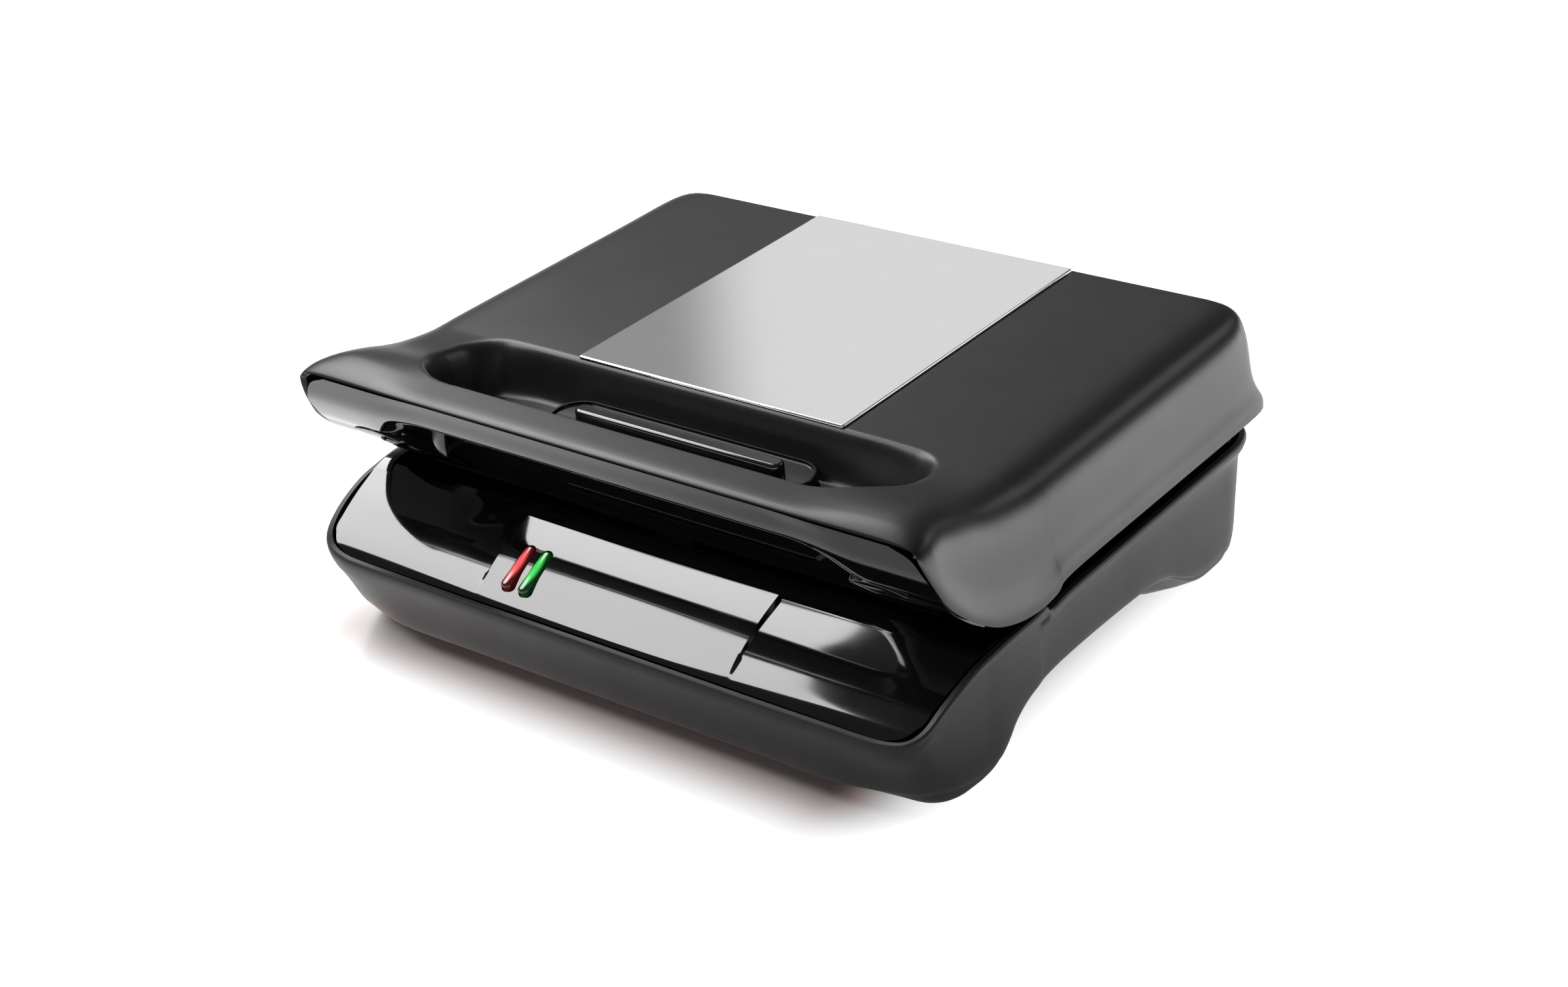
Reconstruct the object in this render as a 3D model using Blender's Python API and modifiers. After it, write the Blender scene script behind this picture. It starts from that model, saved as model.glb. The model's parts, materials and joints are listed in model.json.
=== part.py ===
"""Compact contact grill with a hinged, floating lid, standing closed on its feet.

The frame is metres, +Z up, +X to the right seen from the front, the front at -Y.
The origin lies under the middle of the grill, on the surface that it stands on.
"""
import math

import bmesh
import bpy
from mathutils import Matrix, Vector

# Units and fits
MM = 0.001
FIT = 0.3 * MM
RUNNING_FIT = 0.15 * MM
CUT_OVERRUN = 2.0 * MM
MERGE = 0.00001

# Driving dimensions of the whole grill
LID_HALF_WIDTH = 140.6 * MM
BASE_REACH = 120.0 * MM
BASE_BACK_Y = 106.5 * MM
BELLY_Z = 20.0 * MM
BASE_RIM_Z = 50.0 * MM
LID_HEIGHT = 44.7 * MM
LIP_RISE = 7.4 * MM
POCKET_DEPTH = 14.4 * MM
PLATE_HEIGHT = 9.7 * MM
FLOAT_TRAVEL = 6.0 * MM

# Places that follow from them: the parting between the plates, the lid's top and reach, the hinge axis
PARTING_RISE = 3.7 * MM
PARTING_Z = BASE_RIM_Z + PARTING_RISE
LID_TOP_Z = PARTING_Z + LID_HEIGHT
LID_EDGE_GAP = 1.0 * MM
LID_DROP = LID_HEIGHT - LID_EDGE_GAP
LIP_SETBACK = 8.0 * MM
LID_REACH = BASE_REACH - LIP_SETBACK
BASE_SIDE_INSET = 1.0 * MM
BASE_HALF_WIDTH = LID_HALF_WIDTH - BASE_SIDE_INSET
LID_BACK_OVERHANG = 2.0 * MM
LID_BACK_Y = BASE_BACK_Y + LID_BACK_OVERHANG
HINGE_SETBACK = 7.0 * MM
HINGE_Y = BASE_BACK_Y + HINGE_SETBACK
HINGE_RISE = 3.0 * MM
HINGE_Z = BASE_RIM_Z + HINGE_RISE

# Walls
SHELL_WALL = 2.2 * MM
FASCIA_WALL = 2.0 * MM
FRAME_WALL = 2.5 * MM
TRAY_WALL = 0.6 * MM

# Colours
MATTE_BLACK = (0.022, 0.022, 0.024)
MATTE_GREY = (0.040, 0.039, 0.041)
GLOSS_BLACK = (0.006, 0.006, 0.007)
STEEL = (0.62, 0.62, 0.62)
CAST_BLACK = (0.018, 0.018, 0.018)
ELEMENT_GREY = (0.20, 0.19, 0.18)
ALUMINISED = (0.55, 0.55, 0.56)
CERAMIC = (0.75, 0.73, 0.68)
LENS_RED = (0.80, 0.03, 0.03)
LENS_GREEN = (0.02, 0.60, 0.08)
BOARD_BROWN = (0.35, 0.22, 0.10)


# Scene, collections and materials
def clear_scene():
    for item in list(bpy.data.objects):
        bpy.data.objects.remove(item, do_unlink=True)


def new_collection(name):
    collection = bpy.data.collections.new(name)
    bpy.context.scene.collection.children.link(collection)
    return collection


def new_material(name, color, roughness, metallic=0.0):
    made = bpy.data.materials.new(name)
    made.use_nodes = True
    shader = made.node_tree.nodes["Principled BSDF"]
    shader.inputs["Base Color"].default_value = (*color, 1.0)
    shader.inputs["Roughness"].default_value = roughness
    shader.inputs["Metallic"].default_value = metallic
    return made


clear_scene()
PARTS = new_collection("contact_grill")
CUTTERS = new_collection("cutters")


# Placing: every mesh is drawn where it lies, and a child's origin is moved to its joint's empty
def world_place(item):
    place = Vector(item.location)
    while item.parent is not None:
        item = item.parent
        place = place + Vector(item.location)
    return place


def hang(item, parent):
    if parent is not None:
        item.parent = parent
        item.location = Vector(item.location) - world_place(parent)
    return item


def axis_empty(name, place, parent=None):
    made = bpy.data.objects.new(name, None)
    PARTS.objects.link(made)
    made.location = place
    return hang(made, parent)


def part(name, mesh, material, parent=None):
    made = bpy.data.objects.new(name, mesh)
    PARTS.objects.link(made)
    mesh.materials.append(material)
    return hang(made, parent)


def smooth(mesh, angle=math.radians(35)):
    mesh.shade_smooth()
    mesh.set_sharp_from_angle(angle=angle)
    return mesh


def combine(target, tool_mesh, operation):
    """Adds a Boolean modifier whose tool is a hidden wire object that follows the target."""
    tool = bpy.data.objects.new(target.name + "_" + tool_mesh.name, tool_mesh)
    CUTTERS.objects.link(tool)
    tool.hide_render = True
    tool.display_type = "WIRE"
    if target.parent is not None:
        hang(tool, target.parent)
    modifier = target.modifiers.new(tool_mesh.name, "BOOLEAN")
    modifier.operation = operation
    modifier.object = tool
    modifier.solver = "EXACT"


def mesh_from(builder, name):
    made = bpy.data.meshes.new(name)
    builder.to_mesh(made)
    builder.free()
    return made


# Solids from primitives, turned profiles and flat outlines
def block(name, low, high, rounding=0.0, segments=1, along=None):
    """A box from its low to its high corner, with all its edges rounded, or those along one axis."""
    builder = bmesh.new()
    bmesh.ops.create_cube(builder, size=1.0)
    low = Vector(low)
    high = Vector(high)
    bmesh.ops.scale(builder, vec=high - low, verts=builder.verts)
    bmesh.ops.translate(builder, vec=(high + low) / 2, verts=builder.verts)
    if rounding > 0:
        chosen = list(builder.edges)
        if along is not None:
            chosen = [edge for edge in chosen if edge.verts[0].co[along] != edge.verts[1].co[along]]
        bmesh.ops.bevel(builder, geom=chosen, offset=rounding, segments=segments, affect="EDGES", profile=0.5)
    return mesh_from(builder, name)


def rod(name, radius, start, end, sides=16):
    builder = bmesh.new()
    start = Vector(start)
    end = Vector(end)
    turn = (end - start).to_track_quat("Z", "Y").to_matrix().to_4x4()
    bmesh.ops.create_cone(builder, cap_ends=True, segments=sides, radius1=radius, radius2=radius,
                          depth=(end - start).length, matrix=Matrix.Translation((start + end) / 2) @ turn)
    return smooth(mesh_from(builder, name))


def turned(name, profile, place, axis, material, parent=None, sides=20):
    """A turned part: its profile holds (radius, height) points, from the top down, turned round the axis."""
    mesh = bpy.data.meshes.new(name)
    points = [(radius, 0.0, height) for radius, height in profile]
    edges = [(index, index + 1) for index in range(len(points) - 1)]
    if profile[0][0] > 0:
        edges.append((len(points) - 1, 0))
    mesh.from_pydata(points, edges, [])
    made = bpy.data.objects.new(name, mesh)
    PARTS.objects.link(made)
    mesh.materials.append(material)
    made.location = place
    made.rotation_euler = Vector(axis).to_track_quat("Z", "Y").to_euler()
    screw = made.modifiers.new("turn", "SCREW")
    screw.axis = "Z"
    screw.steps = sides
    screw.render_steps = sides
    screw.use_merge_vertices = True
    screw.merge_threshold = MERGE
    screw.use_smooth_shade = True
    return hang(made, parent)


def flat(name, outlines, thickness, frame):
    """A plate of even thickness from closed outlines, the second and later ones being its holes."""
    curve = bpy.data.curves.new(name, "CURVE")
    curve.dimensions = "2D"
    curve.fill_mode = "BOTH"
    curve.extrude = thickness / 2
    for outline in outlines:
        spline = curve.splines.new("POLY")
        spline.points.add(len(outline) - 1)
        for point, (across, along) in zip(spline.points, outline):
            point.co = (across, along, 0.0, 1.0)
        spline.use_cyclic_u = True
    holder = bpy.data.objects.new(name, curve)
    CUTTERS.objects.link(holder)
    bpy.context.view_layer.update()
    mesh = bpy.data.meshes.new_from_object(holder.evaluated_get(bpy.context.evaluated_depsgraph_get()))
    mesh.name = name
    bpy.data.objects.remove(holder, do_unlink=True)
    builder = bmesh.new()
    builder.from_mesh(mesh)
    bmesh.ops.remove_doubles(builder, verts=builder.verts, dist=MERGE)
    bmesh.ops.transform(builder, matrix=frame, verts=builder.verts)
    bmesh.ops.recalc_face_normals(builder, faces=builder.faces)
    builder.to_mesh(mesh)
    builder.free()
    mesh.materials.clear()
    return mesh


def level(z, x=0.0, y=0.0):
    return Matrix.Translation((x, y, z))


def upright(x):
    """A frame whose outline plane is YZ and whose thickness runs along X."""
    turn = Matrix(((0, 0, 1, 0), (1, 0, 0, 0), (0, 1, 0, 0), (0, 0, 0, 1)))
    return Matrix.Translation((x, 0, 0)) @ turn


def arc(centre, radius, start, end, steps):
    """Points on an arc, its angles in degrees, both ends included."""
    angles = [math.radians(start + (end - start) * step / steps) for step in range(steps + 1)]
    return [(centre[0] + radius * math.cos(angle), centre[1] + radius * math.sin(angle)) for angle in angles]


def rounded_rectangle(left, right, front, back, radius, steps=4):
    outline = arc((right - radius, front + radius), radius, -90, 0, steps)
    outline += arc((right - radius, back - radius), radius, 0, 90, steps)
    outline += arc((left + radius, back - radius), radius, 90, 180, steps)
    outline += arc((left + radius, front + radius), radius, 180, 270, steps)
    return outline


def pill(half_length, half_width, middle, steps=8):
    """A bar with round ends that lies along the first axis."""
    straight = half_length - half_width
    outline = arc((middle[0] + straight, middle[1]), half_width, -90, 90, steps)
    return outline + arc((middle[0] - straight, middle[1]), half_width, 90, 270, steps)


# Lofted shells: a half sheet on +X, mirrored, with its wall inside
def sheet(name, grids, material, wall, subdivision=0, parent=None):
    builder = bmesh.new()
    for grid in grids:
        rows = [[builder.verts.new(point) for point in row] for row in grid]
        for row, following in zip(rows, rows[1:]):
            for index in range(len(row) - 1):
                builder.faces.new((row[index], row[index + 1], following[index + 1], following[index]))
    bmesh.ops.remove_doubles(builder, verts=builder.verts, dist=MERGE)
    made = part(name, smooth(mesh_from(builder, name)), material, parent)
    mirror = made.modifiers.new("mirror", "MIRROR")
    mirror.use_clip = True
    mirror.merge_threshold = MERGE
    if parent is not None:
        mirror.mirror_object = parent
    if subdivision > 0:
        rounding = made.modifiers.new("rounding", "SUBSURF")
        rounding.levels = subdivision
        rounding.render_levels = subdivision
    solidify = made.modifiers.new("wall", "SOLIDIFY")
    solidify.thickness = wall
    solidify.offset = -1.0
    return made


def mix(first, second, share):
    return first + (second - first) * share


def ease(share):
    share = min(max(share, 0.0), 1.0)
    return share * share * (3 - 2 * share)


# Joint axes
POCKET_FLOOR_Z = LID_TOP_Z - POCKET_DEPTH
LATCH_MIDDLE_SHARE = -0.5625
LATCH_MIDDLE_Y = LATCH_MIDDLE_SHARE * LID_REACH
LATCH_AXIS_SETBACK = 9.0 * MM
LATCH_AXIS_DEPTH = 1.5 * MM
LATCH_AXIS_Y = LATCH_MIDDLE_Y + LATCH_AXIS_SETBACK
LATCH_AXIS_Z = POCKET_FLOOR_Z - LATCH_AXIS_DEPTH
lid_hinge = axis_empty("lid_hinge_axis", (0, HINGE_Y, HINGE_Z))
lid_float = axis_empty("lid_float_axis", (0, HINGE_Y, HINGE_Z), lid_hinge)
latch_axis = axis_empty("latch_axis", (0, LATCH_AXIS_Y, LATCH_AXIS_Z), lid_float)

matte_black = new_material("matte_black", MATTE_BLACK, 0.45)
matte_grey = new_material("matte_grey", MATTE_GREY, 0.5)
gloss_black = new_material("gloss_black", GLOSS_BLACK, 0.06)
steel = new_material("steel", STEEL, 0.22, 1.0)
cast_black = new_material("cast_black", CAST_BLACK, 0.4)
element_grey = new_material("element_grey", ELEMENT_GREY, 0.5, 1.0)
aluminised = new_material("aluminised", ALUMINISED, 0.35, 1.0)
rubber_black = new_material("rubber_black", MATTE_BLACK, 0.8)
ceramic = new_material("ceramic", CERAMIC, 0.6)
lens_red = new_material("lens_red", LENS_RED, 0.1)
lens_green = new_material("lens_green", LENS_GREEN, 0.1)
board_brown = new_material("board_brown", BOARD_BROWN, 0.7)

# Lid cover: a sheet from the lip's front edge over the finger recess to the back wall, and down the sides
SHOULDER_INSET = 22.6 * MM
SHOULDER_X = LID_HALF_WIDTH - SHOULDER_INSET
LID_BACK_SPAN = 24.0 * MM
SHOULDER_BACK_Y = LID_BACK_Y - LID_BACK_SPAN
CORNER_SHARE = 0.97
LID_COLUMN_SHARES = (0.0, 0.50, 0.72, 0.82, 0.905, 1.0)
POCKET_COLUMNS = 4
LID_EDGE_SHARE = 0.892
# The lip stands highest at its two ends, and lower along the finger recess
LIP_EDGE_RISE = 0.82
LIP_MIDDLE_SHARE = 0.2
LIP_END_SHARE = 0.66
# For each row: the middle's place along the lid, lip rise and pocket depth, then the side edge's place
# across the half width and along the lid, and its drop. Places in front of the middle are shares of the
# lid's reach, and those behind it of the back shoulder's place
LID_ROW_SHARES = (
    (-0.990, 0.40, 0.00, 0.961, -1.000, -0.057),
    (-1.000, 0.82, 0.00, 0.973, -0.985, 0.060),
    (-0.955, 1.05, 0.00, 0.989, -0.935, 0.330),
    (-0.890, 1.02, 0.00, 0.996, -0.885, 0.485),
    (-0.862, 0.97, 0.97, 0.999, -0.815, 0.645),
    (-0.760, 0.66, 1.00, 1.000, -0.735, 0.785),
    (-0.640, 0.34, 1.00, 1.000, -0.670, 0.880),
    (-0.458, 0.02, 0.97, 1.000, -0.549, 0.979),
    (-0.432, 0.00, 0.25, 1.000, -0.450, 1.000),
    (-0.400, 0.00, 0.00, 1.000, -0.372, 1.000),
    (-0.330, 0.00, 0.00, 1.000, -0.350, LID_EDGE_SHARE),
    (0.030, 0.00, 0.00, 1.000, 0.030, LID_EDGE_SHARE),
    (0.560, 0.00, 0.00, 1.000, 0.600, LID_EDGE_SHARE),
    (0.880, 0.00, 0.00, 1.000, 1.100, LID_EDGE_SHARE),
)
# Down the side and down the back: the share of the way out and the share of the drop
SIDE_SHARES = ((0.42, 0.012), (0.74, 0.13), (0.83, 0.42), (0.86, 0.72), (1.00, 0.90), (0.99, 1.00))
BACK_SHARES = ((0.79, 0.00), (0.83, 0.03), (0.84, 0.38), (0.845, 0.77), (1.00, 0.91), (0.99, 1.00))
LID_EDGE_DROP = LID_EDGE_SHARE * LID_DROP


def along_lid(share):
    return share * (LID_REACH if share < 0 else SHOULDER_BACK_Y)


def lip_height(rise, share):
    """The height of the lid's top at a share of the way from its middle to its shoulder."""
    if rise > LIP_EDGE_RISE:
        over = ease((share - LIP_END_SHARE) / (1 - LIP_END_SHARE))
        rise = mix(LIP_EDGE_RISE, rise, mix(LIP_MIDDLE_SHARE, 1.0, over))
    return LID_TOP_Z + rise * LIP_RISE


def lid_grids():
    top = []
    side = []
    for middle_y, rise, sink, edge_x, edge_y, edge_drop in LID_ROW_SHARES:
        y = along_lid(middle_y)
        outer_z = LID_TOP_Z + rise * LIP_RISE
        heights = [lip_height(rise, share) for share in LID_COLUMN_SHARES]
        if sink > 0:
            heights[:POCKET_COLUMNS] = [LID_TOP_Z - sink * POCKET_DEPTH] * POCKET_COLUMNS
        top.append([(share * SHOULDER_X, y, z) for share, z in zip(LID_COLUMN_SHARES, heights)])
        edge = (edge_x * LID_HALF_WIDTH, along_lid(edge_y), LID_TOP_Z - edge_drop * LID_DROP)
        column = [top[-1][-1]]
        for out, down in SIDE_SHARES:
            column.append((mix(SHOULDER_X, edge[0], out), mix(y, edge[1], down), mix(outer_z, edge[2], down)))
        side.append(column)
    top.append([(share * SHOULDER_X, SHOULDER_BACK_Y, LID_TOP_Z) for share in LID_COLUMN_SHARES])
    back = [list(top[-1])]
    corner = [top[-1][-1]]
    for (side_out, side_down), (back_out, back_down) in zip(SIDE_SHARES, BACK_SHARES):
        y = SHOULDER_BACK_Y + back_out * LID_BACK_SPAN
        z = LID_TOP_Z - back_down * LID_EDGE_DROP
        seam = (mix(SHOULDER_X, LID_HALF_WIDTH, side_out * CORNER_SHARE),
                mix(SHOULDER_BACK_Y, y, CORNER_SHARE),
                LID_TOP_Z - (side_down + back_down) / 2 * LID_EDGE_DROP)
        corner.append(seam)
        back.append([(share * seam[0], y, z) for share in LID_COLUMN_SHARES[:-1]] + [seam])
    side.append(corner)
    return top, side, back


lid_cover = sheet("lid_cover", lid_grids(), matte_black, SHELL_WALL, 1, lid_float)
LATCH_HALF_LENGTH = 57.3 * MM
LATCH_HALF_WIDTH = 11.0 * MM
LATCH_GAP = 0.5 * MM
latch_hole = pill(LATCH_HALF_LENGTH + LATCH_GAP, LATCH_HALF_WIDTH + LATCH_GAP, (0, LATCH_MIDDLE_Y))
combine(lid_cover, flat("latch_opening", [latch_hole], 2 * SHELL_WALL + CUT_OVERRUN,
                        level(POCKET_FLOOR_Z - SHELL_WALL / 2)), "DIFFERENCE")

# Grip opening: the fingers reach through the recess's floor behind the lip, in front of the latch
GRIP_HALF_LENGTH = 86.0 * MM
GRIP_FRONT_SHARE = -0.930
GRIP_FRONT_Y = GRIP_FRONT_SHARE * LID_REACH
GRIP_BACK_OVERLAP = 4.0 * MM
GRIP_BACK_Y = LATCH_MIDDLE_Y - LATCH_HALF_WIDTH + GRIP_BACK_OVERLAP
GRIP_CORNER = 12.0 * MM
GRIP_WALL_FOOT = 6.2 * MM
GRIP_TOP_Z = POCKET_FLOOR_Z + GRIP_WALL_FOOT
GRIP_DEPTH = 8.0 * MM


def grip_tool(front_y, low, high):
    """A cutter for the grip opening, from a front edge back to the latch, between two heights."""
    outline = rounded_rectangle(-GRIP_HALF_LENGTH, GRIP_HALF_LENGTH, front_y, GRIP_BACK_Y, GRIP_CORNER)
    return flat("grip_opening", [outline], high - low, level((low + high) / 2))


combine(lid_cover, grip_tool(GRIP_FRONT_Y, POCKET_FLOOR_Z - GRIP_DEPTH, GRIP_TOP_Z), "DIFFERENCE")

# Steel panel on the lid's top
PANEL_HALF_WIDTH = 59.4 * MM
PANEL_FRONT_SHARE = -0.411
PANEL_FRONT_Y = PANEL_FRONT_SHARE * LID_REACH
PANEL_BACK_MARGIN = 6.6 * MM
PANEL_BACK_Y = LID_BACK_Y - PANEL_BACK_MARGIN
PANEL_THICKNESS = 0.7 * MM
PANEL_BEVEL = 0.2 * MM
part("steel_panel", block("steel_panel", (-PANEL_HALF_WIDTH, PANEL_FRONT_Y, LID_TOP_Z + FIT),
                          (PANEL_HALF_WIDTH, PANEL_BACK_Y, LID_TOP_Z + FIT + PANEL_THICKNESS), PANEL_BEVEL),
     steel, lid_float)

# The two inner frames' places, which the fascias, the plates and the latch follow
FRAME_SIDE_INSET = 7.0 * MM
FRAME_HALF_WIDTH = LID_HALF_WIDTH - FRAME_SIDE_INSET
FRAME_BACK_MARGIN = 5.1 * MM
FRAME_BACK_Y = BASE_BACK_Y - FRAME_BACK_MARGIN
FRAME_RISE = 1.8 * MM
FRAME_BOTTOM_Z = PARTING_Z + FRAME_RISE
FASCIA_END_SHARE = -0.675
FRAME_FRONT_GAP = 2.4 * MM
FRAME_FRONT_Y = FASCIA_END_SHARE * LID_REACH + FRAME_FRONT_GAP
BASE_FASCIA_END_SETBACK = 11.28 * MM
BASE_FASCIA_END_Y = FRAME_FRONT_Y + BASE_FASCIA_END_SETBACK
BASE_FASCIA_END_SHARE = BASE_FASCIA_END_Y / BASE_REACH
BASE_FRAME_FRONT_GAP = 0.9 * MM
BASE_FRAME_FRONT_Y = BASE_FASCIA_END_Y + BASE_FRAME_FRONT_GAP
BASE_FRAME_BACK_MARGIN = 4.5 * MM
BASE_FRAME_BACK_Y = BASE_BACK_Y - BASE_FRAME_BACK_MARGIN

# Lid fascia: the undercut gloss front below the lip, with a grip hollow in the middle
FASCIA_SIDE_INSET = 4.0 * MM
FASCIA_HALF_WIDTH = LID_HALF_WIDTH - FASCIA_SIDE_INSET
FASCIA_TOP_SHARE = 0.3
FASCIA_TOP_Z = LID_TOP_Z + FASCIA_TOP_SHARE * LIP_RISE
FASCIA_FOOT_RISE = 2.7 * MM
FASCIA_DROP = FASCIA_TOP_Z - FRAME_BOTTOM_Z - FASCIA_FOOT_RISE
FASCIA_COLUMN_SHARES = (0.0, 0.30, 0.42, 0.54, 0.66, 0.76, 0.86, 0.95, 1.0)
HOLLOW_START_SHARE = 0.34
HOLLOW_END_SHARE = 0.74
# The middle's place along the reach and drop, then the end's, and the end's place across
FASCIA_ROW_SHARES = (
    (-0.988, 0.000, -0.993, 0.000, 0.944),
    (-0.966, 0.130, -0.982, 0.110, 0.953),
    (-0.942, 0.230, -0.964, 0.220, 0.966),
    (-0.885, 0.300, -0.930, 0.390, 0.984),
    (-0.790, 0.370, -0.882, 0.560, 0.994),
    (-0.686, 0.500, -0.820, 0.710, 0.998),
    (-0.683, 0.680, -0.754, 0.840, 1.000),
    (-0.680, 0.860, -0.708, 0.930, 1.000),
    (FASCIA_END_SHARE, 1.000, FASCIA_END_SHARE, 1.000, 1.000),
)


def lid_fascia_grid():
    rows = []
    for middle_y, middle_drop, end_y, end_drop, across in reversed(FASCIA_ROW_SHARES):
        row = []
        for share in FASCIA_COLUMN_SHARES:
            blend = ease((share - HOLLOW_START_SHARE) / (HOLLOW_END_SHARE - HOLLOW_START_SHARE))
            row.append((share * across * FASCIA_HALF_WIDTH, mix(middle_y, end_y, blend) * LID_REACH,
                        FASCIA_TOP_Z - mix(middle_drop, end_drop, blend) * FASCIA_DROP))
        rows.append(row)
    return rows


lid_fascia = sheet("lid_fascia", [lid_fascia_grid()], gloss_black, FASCIA_WALL, 0, lid_float)
GRIP_LEDGE = 2.2 * MM
GRIP_FOOT_DROP = 6.5 * MM
combine(lid_fascia, grip_tool(GRIP_FRONT_Y + GRIP_LEDGE, POCKET_FLOOR_Z - GRIP_FOOT_DROP, LID_TOP_Z),
        "DIFFERENCE")

# Plate-release catches: eye-shaped buttons, each in its hole in the lid fascia
CATCH_SIDE_INSET = 29.6 * MM
CATCH_X = LID_HALF_WIDTH - CATCH_SIDE_INSET
CATCH_REACH_SHARE = -0.9036
CATCH_Y = CATCH_REACH_SHARE * LID_REACH
CATCH_DROP_SHARE = 0.495
CATCH_Z = FASCIA_TOP_Z - CATCH_DROP_SHARE * FASCIA_DROP
CATCH_HALF_LENGTH = 11.5 * MM
CATCH_HALF_HEIGHT = 3.6 * MM
CATCH_THICKNESS = 2.6 * MM
CATCH_SINK = 0.5 * MM
CATCH_TILT = math.radians(36.0)
CATCH_STEM_RADIUS = 2.0 * MM
CATCH_STEM_LENGTH = 6.0 * MM
CATCH_ARC_STEPS = 6


def eye(half_length, half_height):
    """Two arcs that meet at the corners of an eye."""
    radius = (half_length ** 2 + half_height ** 2) / (2 * half_height)
    spread = math.degrees(math.asin(half_length / radius))
    upper = arc((0, half_height - radius), radius, 90 - spread, 90 + spread, CATCH_ARC_STEPS)
    lower = arc((0, radius - half_height), radius, 270 - spread, 270 + spread, CATCH_ARC_STEPS)
    return upper[:-1] + lower[:-1]


def catch_frame(side, depth):
    """The catch's outline plane faces out of the fascia, forwards and down, depth below the surface."""
    tilt = Matrix.Rotation(math.radians(90) + CATCH_TILT, 4, "X")
    return Matrix.Translation((side * CATCH_X, CATCH_Y, CATCH_Z)) @ tilt @ Matrix.Translation((0, 0, -depth))


for side, label in ((-1, "left"), (1, "right")):
    opening = flat("catch_opening_" + label, [eye(CATCH_HALF_LENGTH + FIT, CATCH_HALF_HEIGHT + FIT)],
                   2 * FASCIA_WALL + 2 * CUT_OVERRUN, catch_frame(side, FASCIA_WALL / 2))
    combine(lid_fascia, opening, "DIFFERENCE")
    axis = axis_empty("catch_axis_" + label, catch_frame(side, 0).translation, lid_float)
    catch = part("release_catch_" + label,
                 flat("release_catch_" + label, [eye(CATCH_HALF_LENGTH, CATCH_HALF_HEIGHT)], CATCH_THICKNESS,
                      catch_frame(side, CATCH_SINK + CATCH_THICKNESS / 2)), gloss_black, axis)
    inner = catch_frame(side, CATCH_SINK + CATCH_THICKNESS / 2).translation
    outer = catch_frame(side, CATCH_SINK + CATCH_THICKNESS + CATCH_STEM_LENGTH).translation
    combine(catch, rod("catch_stem_" + label, CATCH_STEM_RADIUS, inner, outer, 12), "UNION")

# Latch: a pill plate with a finger bar, and a hook that reaches down to the base
LATCH_PROUD = 0.5 * MM
LATCH_TOP_Z = POCKET_FLOOR_Z + LATCH_PROUD
LATCH_THICKNESS = 3.6 * MM
BAR_HALF_LENGTH = 46.0 * MM
BAR_HALF_WIDTH = 3.0 * MM
BAR_HEIGHT = 4.6 * MM
BAR_ROUNDING = 1.6 * MM
HOOK_HALF_WIDTH = 8.0 * MM
HOOK_CLEARANCE = 0.6 * MM
SKIRT_WALL = 1.6 * MM
HOOK_FRONT_Y = FRAME_FRONT_Y + SKIRT_WALL + HOOK_CLEARANCE
HOOK_THICKNESS = 2.5 * MM
HOOK_DEPTH = 2.5 * MM
HOOK_BOTTOM_Z = BASE_RIM_Z - HOOK_DEPTH
HOOK_NOSE_REACH = 3.0 * MM
HOOK_NOSE_HEIGHT = 3.0 * MM
SEAM = 0.5 * MM
latch_outline = pill(LATCH_HALF_LENGTH, LATCH_HALF_WIDTH, (0, LATCH_MIDDLE_Y))
latch_plate = flat("latch", [latch_outline], LATCH_THICKNESS, level(LATCH_TOP_Z - LATCH_THICKNESS / 2))
latch = part("latch", latch_plate, gloss_black, latch_axis)
combine(latch, block("latch_bar", (-BAR_HALF_LENGTH, LATCH_MIDDLE_Y - BAR_HALF_WIDTH, LATCH_TOP_Z - SEAM),
                     (BAR_HALF_LENGTH, LATCH_MIDDLE_Y + BAR_HALF_WIDTH, LATCH_TOP_Z + BAR_HEIGHT),
                     BAR_ROUNDING, 3), "UNION")
combine(latch, block("latch_arm", (-HOOK_HALF_WIDTH, HOOK_FRONT_Y, HOOK_BOTTOM_Z),
                     (HOOK_HALF_WIDTH, HOOK_FRONT_Y + HOOK_THICKNESS, LATCH_TOP_Z - SEAM)), "UNION")
nose_half_width = HOOK_HALF_WIDTH - SEAM
nose_bottom_z = HOOK_BOTTOM_Z + SEAM
combine(latch, block("latch_nose", (-nose_half_width, HOOK_FRONT_Y - HOOK_NOSE_REACH, nose_bottom_z),
                     (nose_half_width, HOOK_FRONT_Y + SEAM, nose_bottom_z + HOOK_NOSE_HEIGHT)), "UNION")

# Lid inner frame: the gloss ring round the upper plate, with a skirt that stands inside the cover
FRAME_CORNER = 22.0 * MM
SKIRT_HEIGHT = 16.0 * MM
SKIRT_TOP_Z = FRAME_BOTTOM_Z + SEAM + SKIRT_HEIGHT
PLATE_SIDE_BORDER = 17.6 * MM
PLATE_FRONT_BORDER = 5.5 * MM
PLATE_BACK_BORDER = 11.5 * MM
PLATE_CORNER = 12.0 * MM
PLATE_GAP = 0.4 * MM
PLATE_RIGHT = FRAME_HALF_WIDTH - PLATE_SIDE_BORDER
PLATE_LEFT = -PLATE_RIGHT
PLATE_FRONT = BASE_FRAME_FRONT_Y + PLATE_FRONT_BORDER
PLATE_BACK = BASE_FRAME_BACK_Y - PLATE_BACK_BORDER
PLATE_LENGTH = PLATE_RIGHT - PLATE_LEFT
PLATE_DEPTH = PLATE_BACK - PLATE_FRONT
PLATE_MIDDLE_Y = (PLATE_FRONT + PLATE_BACK) / 2
HOOK_SLOT_HALF_WIDTH = 10.5 * MM
HOOK_SLOT_FRONT_GAP = 3.3 * MM
HOOK_SLOT_BACK_GAP = 6.7 * MM
HOOK_SLOT_FRONT_Y = HOOK_FRONT_Y - HOOK_SLOT_FRONT_GAP
HOOK_SLOT_BACK_Y = HOOK_FRONT_Y + HOOK_SLOT_BACK_GAP
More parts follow.
